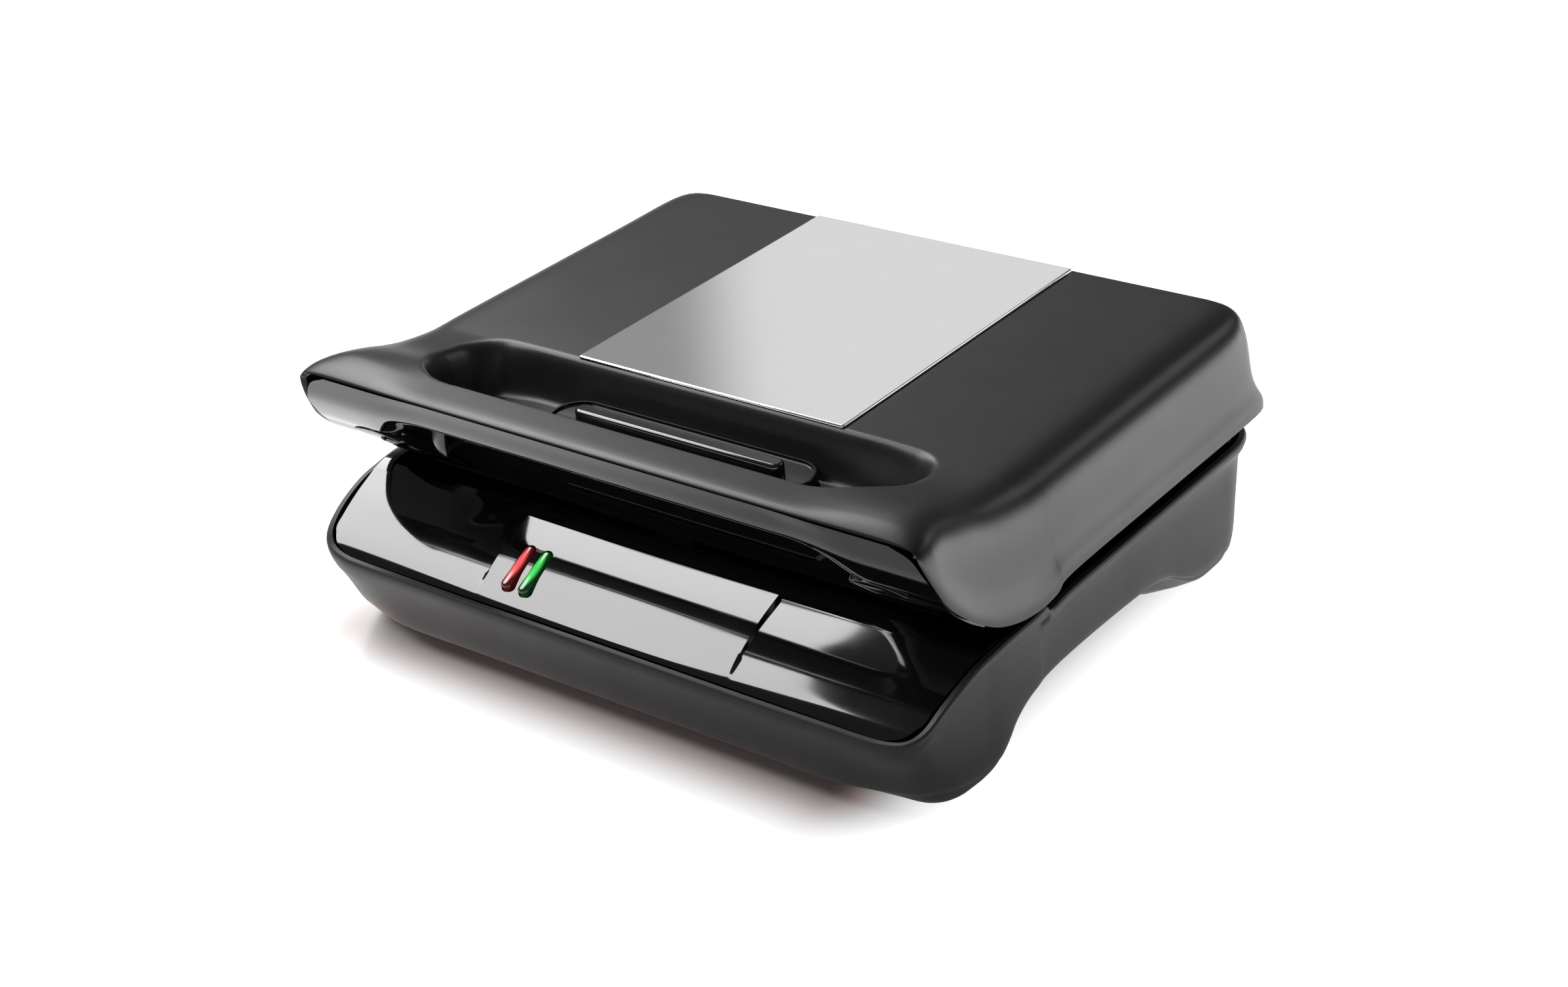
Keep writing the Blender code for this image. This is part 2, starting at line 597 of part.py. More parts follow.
plate_window = rounded_rectangle(PLATE_LEFT - PLATE_GAP, PLATE_RIGHT + PLATE_GAP, PLATE_FRONT - PLATE_GAP,
                                 PLATE_BACK + PLATE_GAP, PLATE_CORNER + PLATE_GAP)
frame_outline = rounded_rectangle(-FRAME_HALF_WIDTH, FRAME_HALF_WIDTH, FRAME_FRONT_Y, FRAME_BACK_Y,
                                  FRAME_CORNER)
lid_frame = part("lid_inner_frame", flat("lid_inner_frame", [frame_outline, plate_window], FRAME_WALL,
                                         level(FRAME_BOTTOM_Z + FRAME_WALL / 2)), gloss_black, lid_float)
skirt_inside = rounded_rectangle(-FRAME_HALF_WIDTH + SKIRT_WALL, FRAME_HALF_WIDTH - SKIRT_WALL,
                                 FRAME_FRONT_Y + SKIRT_WALL, FRAME_BACK_Y - SKIRT_WALL,
                                 FRAME_CORNER - SKIRT_WALL)
combine(lid_frame, flat("skirt", [frame_outline, skirt_inside], SKIRT_HEIGHT,
                        level(SKIRT_TOP_Z - SKIRT_HEIGHT / 2)), "UNION")
combine(lid_frame, block("frame_hook_slot", (-HOOK_SLOT_HALF_WIDTH, HOOK_FRONT_Y - PLATE_GAP, HOOK_BOTTOM_Z),
                         (HOOK_SLOT_HALF_WIDTH, HOOK_SLOT_BACK_Y, SKIRT_TOP_Z - SKIRT_WALL)), "DIFFERENCE")

# Cooking plates: a cast slab with a raised rim and a field of ribs
RIM_WIDTH = 4.0 * MM
FIELD_DEPTH = 4.4 * MM
RIB_COUNT = 15
RIB_FOOT_WIDTH = 4.2 * MM
RIB_CREST_WIDTH = 2.2 * MM
RIB_HEIGHT = 3.4 * MM
RIB_END_GAP = 6.0 * MM
RIB_SINK = 0.4 * MM


def plate(name, facing, parent):
    """facing is 1 where the ribs look up and -1 where they look down; the crests meet at the parting."""
    face_z = PARTING_Z - facing * FIT
    back_z = face_z - facing * PLATE_HEIGHT
    outline = rounded_rectangle(PLATE_LEFT, PLATE_RIGHT, PLATE_FRONT, PLATE_BACK, PLATE_CORNER)
    made = part(name, flat(name, [outline], PLATE_HEIGHT, level((face_z + back_z) / 2)), cast_black, parent)
    field = rounded_rectangle(PLATE_LEFT + RIM_WIDTH, PLATE_RIGHT - RIM_WIDTH, PLATE_FRONT + RIM_WIDTH,
                              PLATE_BACK - RIM_WIDTH, PLATE_CORNER - RIM_WIDTH)
    cut_height = FIELD_DEPTH + CUT_OVERRUN
    combine(made, flat("field", [field], cut_height, level(face_z - facing * (FIELD_DEPTH - cut_height / 2))),
            "DIFFERENCE")
    floor_z = face_z - facing * FIELD_DEPTH
    builder = bmesh.new()
    pitch = (PLATE_LENGTH - 2 * RIM_WIDTH) / (RIB_COUNT + 1)
    for index in range(RIB_COUNT):
        x = PLATE_LEFT + RIM_WIDTH + (index + 1) * pitch
        rib = bmesh.ops.create_cube(builder, size=1.0)["verts"]
        for vert in rib:
            on_crest = vert.co.z * facing > 0
            width = RIB_CREST_WIDTH if on_crest else RIB_FOOT_WIDTH
            reach = PLATE_DEPTH / 2 - RIM_WIDTH - RIB_END_GAP
            height = RIB_HEIGHT if on_crest else -RIB_SINK
            vert.co = Vector((x + math.copysign(width / 2, vert.co.x),
                              PLATE_MIDDLE_Y + math.copysign(reach, vert.co.y), floor_z + facing * height))
    combine(made, mesh_from(builder, "ribs"), "UNION")
    return made


plate("upper_plate", -1, lid_float)
plate("lower_plate", 1, None)

# Heating elements: a bent tube behind each plate, and the reflector tray that holds it
ELEMENT_RADIUS = 3.25 * MM
ELEMENT_END_MARGIN = 26.0 * MM
ELEMENT_SIDE_MARGIN = 21.0 * MM
ELEMENT_HALF_LENGTH = PLATE_LENGTH / 2 - ELEMENT_END_MARGIN
ELEMENT_HALF_DEPTH = PLATE_DEPTH / 2 - ELEMENT_SIDE_MARGIN
ELEMENT_BEND = 18.0 * MM
ELEMENT_GAP_HALF = 22.0 * MM
ELEMENT_BEND_STEPS = 4
TRAY_MARGIN = 4.0 * MM
TRAY_HALF_LENGTH = PLATE_LENGTH / 2 - TRAY_MARGIN
TRAY_HALF_DEPTH = PLATE_DEPTH / 2 - TRAY_MARGIN
TRAY_RIM_GAP = 0.4 * MM


def stack_z(facing, distance):
    """A height at a distance behind the back of the plate that faces up (1) or down (-1)."""
    return PARTING_Z - facing * (FIT + PLATE_HEIGHT + distance)


def element(name, facing, parent):
    back = PLATE_MIDDLE_Y + ELEMENT_HALF_DEPTH
    front = PLATE_MIDDLE_Y - ELEMENT_HALF_DEPTH
    right = ELEMENT_HALF_LENGTH
    bend_x = right - ELEMENT_BEND
    path = [(ELEMENT_GAP_HALF, back)]
    path += reversed(arc((bend_x, back - ELEMENT_BEND), ELEMENT_BEND, 0, 90, ELEMENT_BEND_STEPS))
    path += reversed(arc((bend_x, front + ELEMENT_BEND), ELEMENT_BEND, -90, 0, ELEMENT_BEND_STEPS))
    path += [(-x, y) for x, y in reversed(path)]
    curve = bpy.data.curves.new(name, "CURVE")
    curve.dimensions = "3D"
    curve.bevel_depth = ELEMENT_RADIUS
    curve.bevel_resolution = 2
    curve.use_fill_caps = True
    spline = curve.splines.new("POLY")
    spline.points.add(len(path) - 1)
    z = stack_z(facing, FIT + ELEMENT_RADIUS)
    for point, (x, y) in zip(spline.points, path):
        point.co = (x, y, z, 1.0)
    return part(name, curve, element_grey, parent)


def tray(name, facing, parent):
    """An open tray: a flat floor with four walls, whose sheet lies on the outside of the drawn surface."""
    floor_z = stack_z(facing, 2 * FIT + 2 * ELEMENT_RADIUS + TRAY_WALL)
    rim_z = stack_z(facing, TRAY_RIM_GAP)
    low = (-TRAY_HALF_LENGTH, PLATE_MIDDLE_Y - TRAY_HALF_DEPTH, min(floor_z, rim_z))
    high = (TRAY_HALF_LENGTH, PLATE_MIDDLE_Y + TRAY_HALF_DEPTH, max(floor_z, rim_z))
    builder = bmesh.new()
    builder.from_mesh(block(name, low, high))
    lid_face = max(builder.faces, key=lambda face: face.calc_center_median().z * facing)
    bmesh.ops.delete(builder, geom=[lid_face], context="FACES_ONLY")
    made = part(name, mesh_from(builder, name + "_sheet"), aluminised, parent)
    solidify = made.modifiers.new("wall", "SOLIDIFY")
    solidify.thickness = TRAY_WALL
    solidify.offset = -1.0
    solidify.use_even_offset = True
    return made


for name, facing, parent in (("upper", -1, lid_float), ("lower", 1, None)):
    element(name + "_element", facing, parent)
    tray(name + "_reflector", facing, parent)

# Posts that carry the reflectors: long ones down from the lid cover, short ones up from the bottom cover
POST_END_MARGIN = 28.0 * MM
POST_SIDE_MARGIN = 27.0 * MM
POST_X = TRAY_HALF_LENGTH - POST_END_MARGIN
POST_HALF_DEPTH = TRAY_HALF_DEPTH - POST_SIDE_MARGIN
POST_RADIUS = 4.0 * MM
POST_BORE = 2.0 * MM
UPPER_TRAY_Z = stack_z(-1, 2 * FIT + 2 * ELEMENT_RADIUS + TRAY_WALL)
LOWER_TRAY_Z = stack_z(1, 2 * FIT + 2 * ELEMENT_RADIUS + TRAY_WALL)
BOTTOM_COVER_WALL = 2.0 * MM
PLACES = ((-1, -1, "front_left"), (1, -1, "front_right"), (-1, 1, "back_left"), (1, 1, "back_right"))


def post(name, x, y, low, high, parent):
    middle = (low + high) / 2
    half = (high - low) / 2
    profile = [(POST_RADIUS, half), (POST_RADIUS, -half), (POST_BORE, -half), (POST_BORE, half)]
    return turned(name, profile, (x, y, middle), (0, 0, 1), aluminised, parent, 12)


for across, along, label in PLACES:
    post("upper_post_" + label, across * POST_X, PLATE_MIDDLE_Y + along * POST_HALF_DEPTH,
         UPPER_TRAY_Z + FIT, LID_TOP_Z - SHELL_WALL - FIT, lid_float)
    post("lower_post_" + label, across * POST_X, PLATE_MIDDLE_Y + along * POST_HALF_DEPTH,
         BELLY_Z + BOTTOM_COVER_WALL + FIT, LOWER_TRAY_Z - FIT, None)

# Latch spring: a coil that stands on the inner frame and holds the latch plate up
SPRING_X = 30.0 * MM
SPRING_SETBACK = 1.0 * MM
SPRING_Y = LATCH_MIDDLE_Y - SPRING_SETBACK
SPRING_RADIUS = 3.0 * MM
SPRING_WIRE = 0.45 * MM
SPRING_TURNS = 7
SPRING_TURN_POINTS = 8


def coil(name, x, y, low, high, material, parent):
    curve = bpy.data.curves.new(name, "CURVE")
    curve.dimensions = "3D"
    curve.bevel_depth = SPRING_WIRE
    curve.bevel_resolution = 1
    curve.use_fill_caps = True
    count = SPRING_TURNS * SPRING_TURN_POINTS
    spline = curve.splines.new("POLY")
    spline.points.add(count)
    for index, point in enumerate(spline.points):
        angle = 2 * math.pi * index / SPRING_TURN_POINTS
        z = mix(low + SPRING_WIRE, high - SPRING_WIRE, index / count)
        point.co = (x + SPRING_RADIUS * math.cos(angle), y + SPRING_RADIUS * math.sin(angle), z, 1.0)
    return part(name, curve, material, parent)


coil("latch_spring", SPRING_X, SPRING_Y, FRAME_BOTTOM_Z + FRAME_WALL + FIT,
     LATCH_TOP_Z - LATCH_THICKNESS - FIT, steel, lid_float)

# Base housing: one band that runs from the rim down the walls, round the feet and in under the belly
LOBE_RISE = 2.6 * MM
FOOT_SOLE_Z = 1.0 * MM
# For each station round the half plan, from the front middle to the back middle: the rim's place across
# and along, its rise, the lower edge's and the sole's lift, how far the neck stands in, the sole edge's
# place across and along, and how far the sole reaches to its inner loop. Places in front of the middle
# are shares of the base's reach, and those behind it of the back wall's place
BASE_STATION_SHARES = (
    (0.000, -1.000, -6.15, 0.420, 0.420, 0.40, 0.000, -0.905, 0.25),
    (0.440, -1.000, -6.15, 0.420, 0.420, 0.40, 0.440, -0.905, 0.25),
    (0.720, -0.998, -6.15, 0.420, 0.400, 0.40, 0.706, -0.903, 0.30),
    (0.800, -0.997, -6.15, 0.420, 0.220, 0.40, 0.770, -0.870, 0.70),
    (0.870, -0.993, -6.05, 0.420, 0.050, 0.40, 0.827, -0.837, 1.00),
    (0.930, -0.978, -5.40, 0.420, 0.000, 0.40, 0.881, -0.825, 1.00),
    (0.966, -0.942, -4.20, 0.400, 0.000, 0.50, 0.917, -0.800, 1.00),
    (0.982, -0.867, -2.10, 0.320, 0.000, 0.70, 0.937, -0.754, 1.00),
    (0.992, -0.750, -0.05, 0.220, 0.000, 0.90, 0.943, -0.692, 1.00),
    (0.996, -0.660, 0.60, 0.180, 0.000, 1.00, 0.944, -0.646, 1.00),
    (0.999, -0.600, 0.90, 0.250, 0.080, 1.00, 0.946, -0.596, 1.00),
    (1.000, -0.555, 0.98, 0.450, 0.330, 1.00, 0.946, -0.553, 1.00),
    (1.000, -0.515, 1.00, 0.700, 0.620, 1.00, 0.946, -0.515, 1.00),
    (1.000, -0.460, 1.00, 0.900, 0.860, 1.00, 0.946, -0.458, 1.00),
    (0.998, -0.390, 1.00, 1.020, 0.960, 1.00, 0.946, -0.390, 1.00),
    (0.996, -0.370, 0.00, 1.040, 0.970, 1.00, 0.944, -0.370, 1.00),
    (0.990, -0.260, 0.00, 1.060, 1.000, 1.00, 0.940, -0.260, 1.00),
    (0.987, 0.100, 0.00, 1.000, 0.940, 1.00, 0.937, 0.100, 1.00),
    (0.986, 0.340, 0.00, 0.880, 0.820, 1.00, 0.936, 0.340, 1.00),
    (0.986, 0.430, 0.00, 0.720, 0.650, 1.00, 0.936, 0.432, 1.00),
    (0.986, 0.500, 0.00, 0.500, 0.400, 1.00, 0.936, 0.502, 1.00),
    (0.986, 0.570, 0.00, 0.310, 0.170, 1.00, 0.936, 0.573, 1.00),
    (0.986, 0.650, 0.00, 0.200, 0.030, 1.00, 0.936, 0.648, 1.00),
    (0.985, 0.760, 0.00, 0.180, 0.000, 1.00, 0.936, 0.732, 1.00),
    (0.978, 0.870, 0.00, 0.220, 0.010, 0.90, 0.933, 0.808, 1.00),
    (0.945, 0.960, 0.00, 0.330, 0.040, 0.70, 0.910, 0.859, 1.00),
    (0.880, 1.000, 0.00, 0.450, 0.080, 0.50, 0.856, 0.883, 1.00),
    (0.800, 1.000, 0.00, 0.600, 0.400, 0.40, 0.788, 0.897, 0.80),
    (0.700, 1.000, 0.00, 1.000, 1.000, 0.30, 0.695, 0.930, 0.50),
    (0.000, 1.000, 0.00, 1.000, 1.000, 0.30, 0.000, 0.930, 0.50),
)
RIM_ROUND = 0.8 * MM
FLANGE_HEIGHT = 4.0 * MM
NECK_DROP = 7.0 * MM
NECK_INSET = 3.2 * MM
FRONT_EDGE_SHARE = 0.47
SIDE_EDGE_SHARE = 0.66
EDGE_ROUND = 1.2 * MM
WALL_BEND_SHARE = 0.35
UNDER_BEND_SHARE = 0.45
UNDER_FALL_SHARE = 0.55
SOLE_ACROSS_SHARE = 0.82
SOLE_ALONG_INSET = 31.7 * MM
BELLY_ACROSS_SHARE = 0.79
BELLY_ALONG_INSET = 36.2 * MM
WINDOW_ACROSS_SHARE = 0.70
WINDOW_ALONG_INSET = 45.3 * MM
WINDOW_MIDDLE_Y = -7.0 * MM


def along_base(share):
    return share * (BASE_REACH if share < 0 else BASE_BACK_Y)


def base_outline():
    """The rim's outermost points with the unit vector that points inwards at each."""
    places = [(across * BASE_HALF_WIDTH, along_base(along)) for across, along, *others in BASE_STATION_SHARES]
    found = []
    for index, (x, y) in enumerate(places):
        before = places[index - 1] if index > 0 else (-places[1][0], places[1][1])
        after = places[index + 1] if index + 1 < len(places) else (-places[-2][0], places[-2][1])
        along = Vector((after[0] - before[0], after[1] - before[1])).normalized()
        found.append((x, y, Vector((-along.y, along.x))))
    return found


def drawn_in(x, y, across_share, along_inset):
    """A place drawn in towards the belly: by a share across, and along so that the ends move by the inset."""
    end = along_base(1) - WINDOW_MIDDLE_Y if y > WINDOW_MIDDLE_Y else along_base(-1) - WINDOW_MIDDLE_Y
    return Vector((x * across_share, WINDOW_MIDDLE_Y + (y - WINDOW_MIDDLE_Y) * (1 - along_inset / abs(end))))


def base_rows():
    stations = []
    for (x, y, inwards), shares in zip(base_outline(), BASE_STATION_SHARES):
        rise, edge_lift, sole_lift, neck, sole_across, sole_along, reach = shares[2:]
        rim_z = BASE_RIM_Z + rise * LOBE_RISE
        edge_z = mix(FOOT_SOLE_Z, BELLY_Z, edge_lift)
        sole_z = mix(FOOT_SOLE_Z, BELLY_Z, sole_lift)
        rim = Vector((x, y))
        sole = Vector((sole_across * BASE_HALF_WIDTH, along_base(sole_along)))
        edge = rim.lerp(sole, mix(FRONT_EDGE_SHARE, SIDE_EDGE_SHARE, abs(inwards.x)))
        outwards = (rim - sole).normalized() * EDGE_ROUND / 2
        neck_place = rim + inwards * neck * NECK_INSET
        column = [(rim + inwards * RIM_ROUND, rim_z), (rim, rim_z - 2 * RIM_ROUND),
                  (rim + inwards * neck * RIM_ROUND, rim_z - FLANGE_HEIGHT), (neck_place, rim_z - NECK_DROP),
                  (neck_place.lerp(edge, WALL_BEND_SHARE), (rim_z + edge_z) / 2),
                  (edge + outwards, edge_z + EDGE_ROUND), (edge - outwards, edge_z),
                  (edge.lerp(sole, UNDER_BEND_SHARE), mix(edge_z, sole_z, UNDER_FALL_SHARE)), (sole, sole_z)]
        column = [(*place, z) for place, z in column]
        sole_loop = drawn_in(x, y, SOLE_ACROSS_SHARE, SOLE_ALONG_INSET)
        belly_loop = drawn_in(x, y, BELLY_ACROSS_SHARE, BELLY_ALONG_INSET)
        window_loop = drawn_in(x, y, WINDOW_ACROSS_SHARE, WINDOW_ALONG_INSET)
        inner = Vector(column[-1][:2]).lerp(sole_loop, reach)
        column.append((inner.x, inner.y, sole_z))
        column.append((*(inner + belly_loop - sole_loop), BELLY_Z))
        column.append((*window_loop, BELLY_Z))
        if x == 0:
            column = [(0.0, py, pz) for px, py, pz in column]
        stations.append(column)
    return stations


base_housing = sheet("base_housing", [base_rows()], matte_grey, SHELL_WALL)

# Base fascia: the gloss front between the rim and the lower plate, with a raised lamp field
BASE_FASCIA_SIDE_GAP = 3.4 * MM
BASE_FASCIA_HALF_WIDTH = BASE_HALF_WIDTH - BASE_FASCIA_SIDE_GAP
FIELD_HALF_WIDTH = 56.6 * MM
FIELD_EDGE = 0.8 * MM
FIELD_RISE = 1.8 * MM
BASE_FASCIA_COLUMN_SHARES = (0.0, 0.5, 1.0)
BASE_FASCIA_OUTER_SHARES = (0.22, 0.50, 0.76, 0.92, 1.0)
# For each row: its place along the reach, its height over the rim in the middle and at the ends,
# the field's rise, and the ends' place across
BASE_FASCIA_ROW_SHARES = (
    (BASE_FASCIA_END_SHARE, -0.16, 1.00, 0.00, 1.000),
    (-0.610, 0.34, 1.10, 0.00, 1.000),
    (-0.698, 0.22, 0.60, 0.00, 0.996),
    (-0.706, 0.18, 0.50, 1.00, 0.995),
    (-0.796, -1.32, -1.00, 0.80, 0.984),
    (-0.870, -3.05, -2.60, 0.80, 0.975),
    (-0.932, -4.60, -4.40, 0.65, 0.958),
    (-0.962, -5.50, -5.60, 0.20, 0.925),
    (-0.973, -6.00, -6.10, 0.00, 0.880),
)


def base_fascia_grid():
    rows = []
    for y_share, middle_rise, end_rise, field_share, across in reversed(BASE_FASCIA_ROW_SHARES):
        end_x = across * BASE_FASCIA_HALF_WIDTH
        low_edge = FIELD_HALF_WIDTH + FIELD_EDGE
        spots = [(share * FIELD_HALF_WIDTH, field_share * FIELD_RISE) for share in BASE_FASCIA_COLUMN_SHARES]
        spots += [(low_edge, 0.0)]
        spots += [(mix(low_edge, end_x, share), 0.0) for share in BASE_FASCIA_OUTER_SHARES]
        row = []
        for x, rise in spots:
            lift = mix(middle_rise, end_rise, ease(x / end_x)) * LOBE_RISE
            row.append((x, y_share * BASE_REACH, BASE_RIM_Z + lift + rise))
        rows.append(row)
    return rows


base_fascia = sheet("base_fascia", [base_fascia_grid()], gloss_black, FASCIA_WALL)
combine(base_fascia, block("base_hook_slot",
                           (-HOOK_SLOT_HALF_WIDTH, HOOK_SLOT_FRONT_Y, HOOK_BOTTOM_Z - CUT_OVERRUN),
                           (HOOK_SLOT_HALF_WIDTH, HOOK_SLOT_BACK_Y, FRAME_BOTTOM_Z)), "DIFFERENCE")

# Lamp lenses: two pills that lie down the slope of the field, with the lamp board under them
LENS_REACH_SHARE = -0.8667
LENS_MIDDLE_Y = LENS_REACH_SHARE * BASE_REACH
LENS_FALL = 5.8 * MM
LENS_MIDDLE_Z = BASE_RIM_Z - LENS_FALL
LENS_SLOPE_FALL = 8.0 * MM
LENS_SLOPE_SHARE = 0.1398
LENS_SLOPE = math.atan2(LENS_SLOPE_FALL, LENS_SLOPE_SHARE * BASE_REACH)
LENS_LENGTH_SHARE = 0.0792
LENS_HALF_LENGTH = LENS_LENGTH_SHARE * BASE_REACH
LENS_HALF_WIDTH = 2.6 * MM
LENS_HEIGHT = 5.0 * MM
LENS_PROUD = 0.8 * MM
LENS_MARGIN = 11.1 * MM
LENS_PITCH = 8.0 * MM
RED_LENS_X = LENS_MARGIN - FIELD_HALF_WIDTH
GREEN_LENS_X = RED_LENS_X + LENS_PITCH
LENS_PLACES = ((RED_LENS_X, "red_lens", lens_red), (GREEN_LENS_X, "green_lens", lens_green))
BOARD_END_MARGIN = 2.5 * MM
BOARD_HALF_LENGTH = LENS_HALF_LENGTH + BOARD_END_MARGIN
BOARD_HALF_WIDTH = 11.0 * MM
BOARD_THICKNESS = 1.6 * MM
BOARD_CORNER = 1.0 * MM


def lens_frame(x, depth):
    turn = Matrix.Rotation(LENS_SLOPE, 4, "X") @ Matrix.Rotation(math.radians(90), 4, "Z")
    return Matrix.Translation((x, LENS_MIDDLE_Y, LENS_MIDDLE_Z)) @ turn @ Matrix.Translation((0, 0, -depth))


for x, name, material in LENS_PLACES:
    hole_outline = pill(LENS_HALF_LENGTH + FIT, LENS_HALF_WIDTH + FIT, (0, 0), 6)
    combine(base_fascia, flat(name + "_hole", [hole_outline], LENS_HEIGHT + 2 * CUT_OVERRUN,
                              lens_frame(x, LENS_HEIGHT / 2)), "DIFFERENCE")
    part(name, flat(name, [pill(LENS_HALF_LENGTH, LENS_HALF_WIDTH, (0, 0), 6)], LENS_HEIGHT,
                    lens_frame(x, LENS_HEIGHT / 2 - LENS_PROUD)), material)
board_x = (RED_LENS_X + GREEN_LENS_X) / 2
board_outline = rounded_rectangle(-BOARD_HALF_LENGTH, BOARD_HALF_LENGTH, -BOARD_HALF_WIDTH, BOARD_HALF_WIDTH,
                                  BOARD_CORNER, 2)
board_frame = lens_frame(board_x, LENS_HEIGHT - LENS_PROUD + FIT + BOARD_THICKNESS / 2)
part("lamp_board", flat("lamp_board", [board_outline], BOARD_THICKNESS, board_frame), board_brown)

# Base inner frame: the ring that carries the lower plate
BASE_FRAME_SIDE_INSET = 6.2 * MM
BASE_FRAME_HALF_WIDTH = BASE_HALF_WIDTH - BASE_FRAME_SIDE_INSET
BASE_FRAME_SINK = 0.4 * MM
BASE_FRAME_TOP_Z = BASE_RIM_Z - BASE_FRAME_SINK
BASE_FRAME_CORNER = 18.0 * MM
base_frame_outline = rounded_rectangle(-BASE_FRAME_HALF_WIDTH, BASE_FRAME_HALF_WIDTH, BASE_FRAME_FRONT_Y,
                                       BASE_FRAME_BACK_Y, BASE_FRAME_CORNER)
part("base_inner_frame", flat("base_inner_frame", [base_frame_outline, plate_window], FRAME_WALL,
                              level(BASE_FRAME_TOP_Z - FRAME_WALL / 2)), gloss_black)

# Bottom cover in the belly's window, its screws, and the sole pads in the feet
COVER_CORNER = 14.0 * MM
WINDOW_MARGIN = 4.0 * MM
window_corner = drawn_in(BASE_HALF_WIDTH, -BASE_REACH, WINDOW_ACROSS_SHARE, WINDOW_ALONG_INSET)
WINDOW_HALF_WIDTH = window_corner.x + WINDOW_MARGIN
WINDOW_FRONT_Y = window_corner.y - WINDOW_MARGIN
WINDOW_BACK_Y = drawn_in(0, BASE_BACK_Y, WINDOW_ACROSS_SHARE, WINDOW_ALONG_INSET).y + WINDOW_MARGIN
SCREW_RADIUS = 1.6 * MM
SCREW_HEAD_RADIUS = 3.2 * MM
SCREW_HEAD_HEIGHT = 1.3 * MM
SCREW_LENGTH = 7.0 * MM
belly_window = rounded_rectangle(-WINDOW_HALF_WIDTH, WINDOW_HALF_WIDTH, WINDOW_FRONT_Y, WINDOW_BACK_Y,
                                 COVER_CORNER)
combine(base_housing, flat("belly_window", [belly_window], 2 * SHELL_WALL + CUT_OVERRUN,
                           level(BELLY_Z + SHELL_WALL / 2)), "DIFFERENCE")
cover_outline = rounded_rectangle(-WINDOW_HALF_WIDTH + FIT, WINDOW_HALF_WIDTH - FIT, WINDOW_FRONT_Y + FIT,
                                  WINDOW_BACK_Y - FIT, COVER_CORNER - FIT)
bottom_cover = part("bottom_cover", flat("bottom_cover", [cover_outline], BOTTOM_COVER_WALL,
                                         level(BELLY_Z + BOTTOM_COVER_WALL / 2)), matte_grey)
for across, along, label in PLACES:
    place = (across * POST_X, PLATE_MIDDLE_Y + along * POST_HALF_DEPTH)
    hole = rod("screw_hole_" + label, SCREW_RADIUS + RUNNING_FIT, (*place, BELLY_Z - CUT_OVERRUN),
               (*place, BELLY_Z + BOTTOM_COVER_WALL + CUT_OVERRUN), 10)
    combine(bottom_cover, hole, "DIFFERENCE")
    profile = [(0.0, SCREW_LENGTH), (SCREW_RADIUS, SCREW_LENGTH), (SCREW_RADIUS, 0.0),
               (SCREW_HEAD_RADIUS, 0.0), (SCREW_HEAD_RADIUS, -SCREW_HEAD_HEIGHT), (0.0, -SCREW_HEAD_HEIGHT)]
    turned("bottom_screw_" + label, profile, (*place, BELLY_Z - FIT), (0, 0, 1), steel, None, 10)

PAD_SIDE_INSET = 16.6 * MM
PAD_X = BASE_HALF_WIDTH - PAD_SIDE_INSET
PAD_FRONT_INSET = 28.5 * MM
PAD_FRONT_Y = PAD_FRONT_INSET - BASE_REACH
PAD_BACK_INSET = 24.0 * MM
PAD_BACK_Y = BASE_BACK_Y - PAD_BACK_INSET
PAD_RADIUS = 5.0 * MM
PAD_HEIGHT = 4.0 * MM
for across, along, label in PLACES:
    place = (across * PAD_X, PAD_FRONT_Y if along < 0 else PAD_BACK_Y)
    combine(base_housing, rod("pad_hole_" + label, PAD_RADIUS + FIT, (*place, -CUT_OVERRUN),
                              (*place, PAD_HEIGHT + CUT_OVERRUN), 16), "DIFFERENCE")
    profile = [(0.0, PAD_HEIGHT), (PAD_RADIUS, PAD_HEIGHT), (PAD_RADIUS, 0.0), (0.0, 0.0)]
    turned("rubber_foot_" + label, profile, (*place, 0.0), (0, 0, 1), rubber_black, None, 16)

# Hinges: on each side a post on the base, a pin, a floating arm and a bracket on the lid
HINGE_SIDE_INSET = 60.6 * MM
HINGE_X = LID_HALF_WIDTH - HINGE_SIDE_INSET
ARM_HALF_THICKNESS = 2.5 * MM
ARM_HALF_WIDTH = 4.0 * MM
ARM_WALL = 2.3 * MM
PIN_RADIUS = 2.0 * MM
CHEEK_GAP = 0.3 * MM
CHEEK_THICKNESS = 3.0 * MM
CHEEK_ROUND = 6.5 * MM
POST_FACE_Y = BASE_BACK_Y + FIT
POST_WEB = 2.2 * MM
POST_DROP = 19.0 * MM
POST_BOTTOM_Z = BASE_RIM_Z - POST_DROP
POST_TOP_Z = HINGE_Z + ARM_HALF_WIDTH
GUIDE_RADIUS = 1.5 * MM
GUIDE_RISE = 21.0 * MM
GUIDE_PITCH = 5.0 * MM
GUIDE_Z = (HINGE_Z + GUIDE_RISE, HINGE_Z + GUIDE_RISE + GUIDE_PITCH)
ARM_TOP_Z = GUIDE_Z[1] + FLOAT_TRAVEL + GUIDE_RADIUS + ARM_WALL
BACK_WALL_SHARE = 0.845
BRACKET_CLEARANCE = 0.7 * MM
BRACKET_FACE_Y = SHOULDER_BACK_Y + BACK_WALL_SHARE * LID_BACK_SPAN + BRACKET_CLEARANCE
BRACKET_WEB = 1.6 * MM
BRACKET_MARGIN = 3.5 * MM
BRACKET_BOTTOM_Z = GUIDE_Z[0] - BRACKET_MARGIN
BRACKET_TOP_Z = GUIDE_Z[1] + BRACKET_MARGIN
BRACKET_ROUND = 1.0 * MM
PIN_HEAD = 1.2 * MM
HINGE_SIDES = 12
GUIDE_SIDES = 10

CHEEK_INNER = ARM_HALF_THICKNESS + CHEEK_GAP
CHEEK_OUTER = CHEEK_INNER + CHEEK_THICKNESS


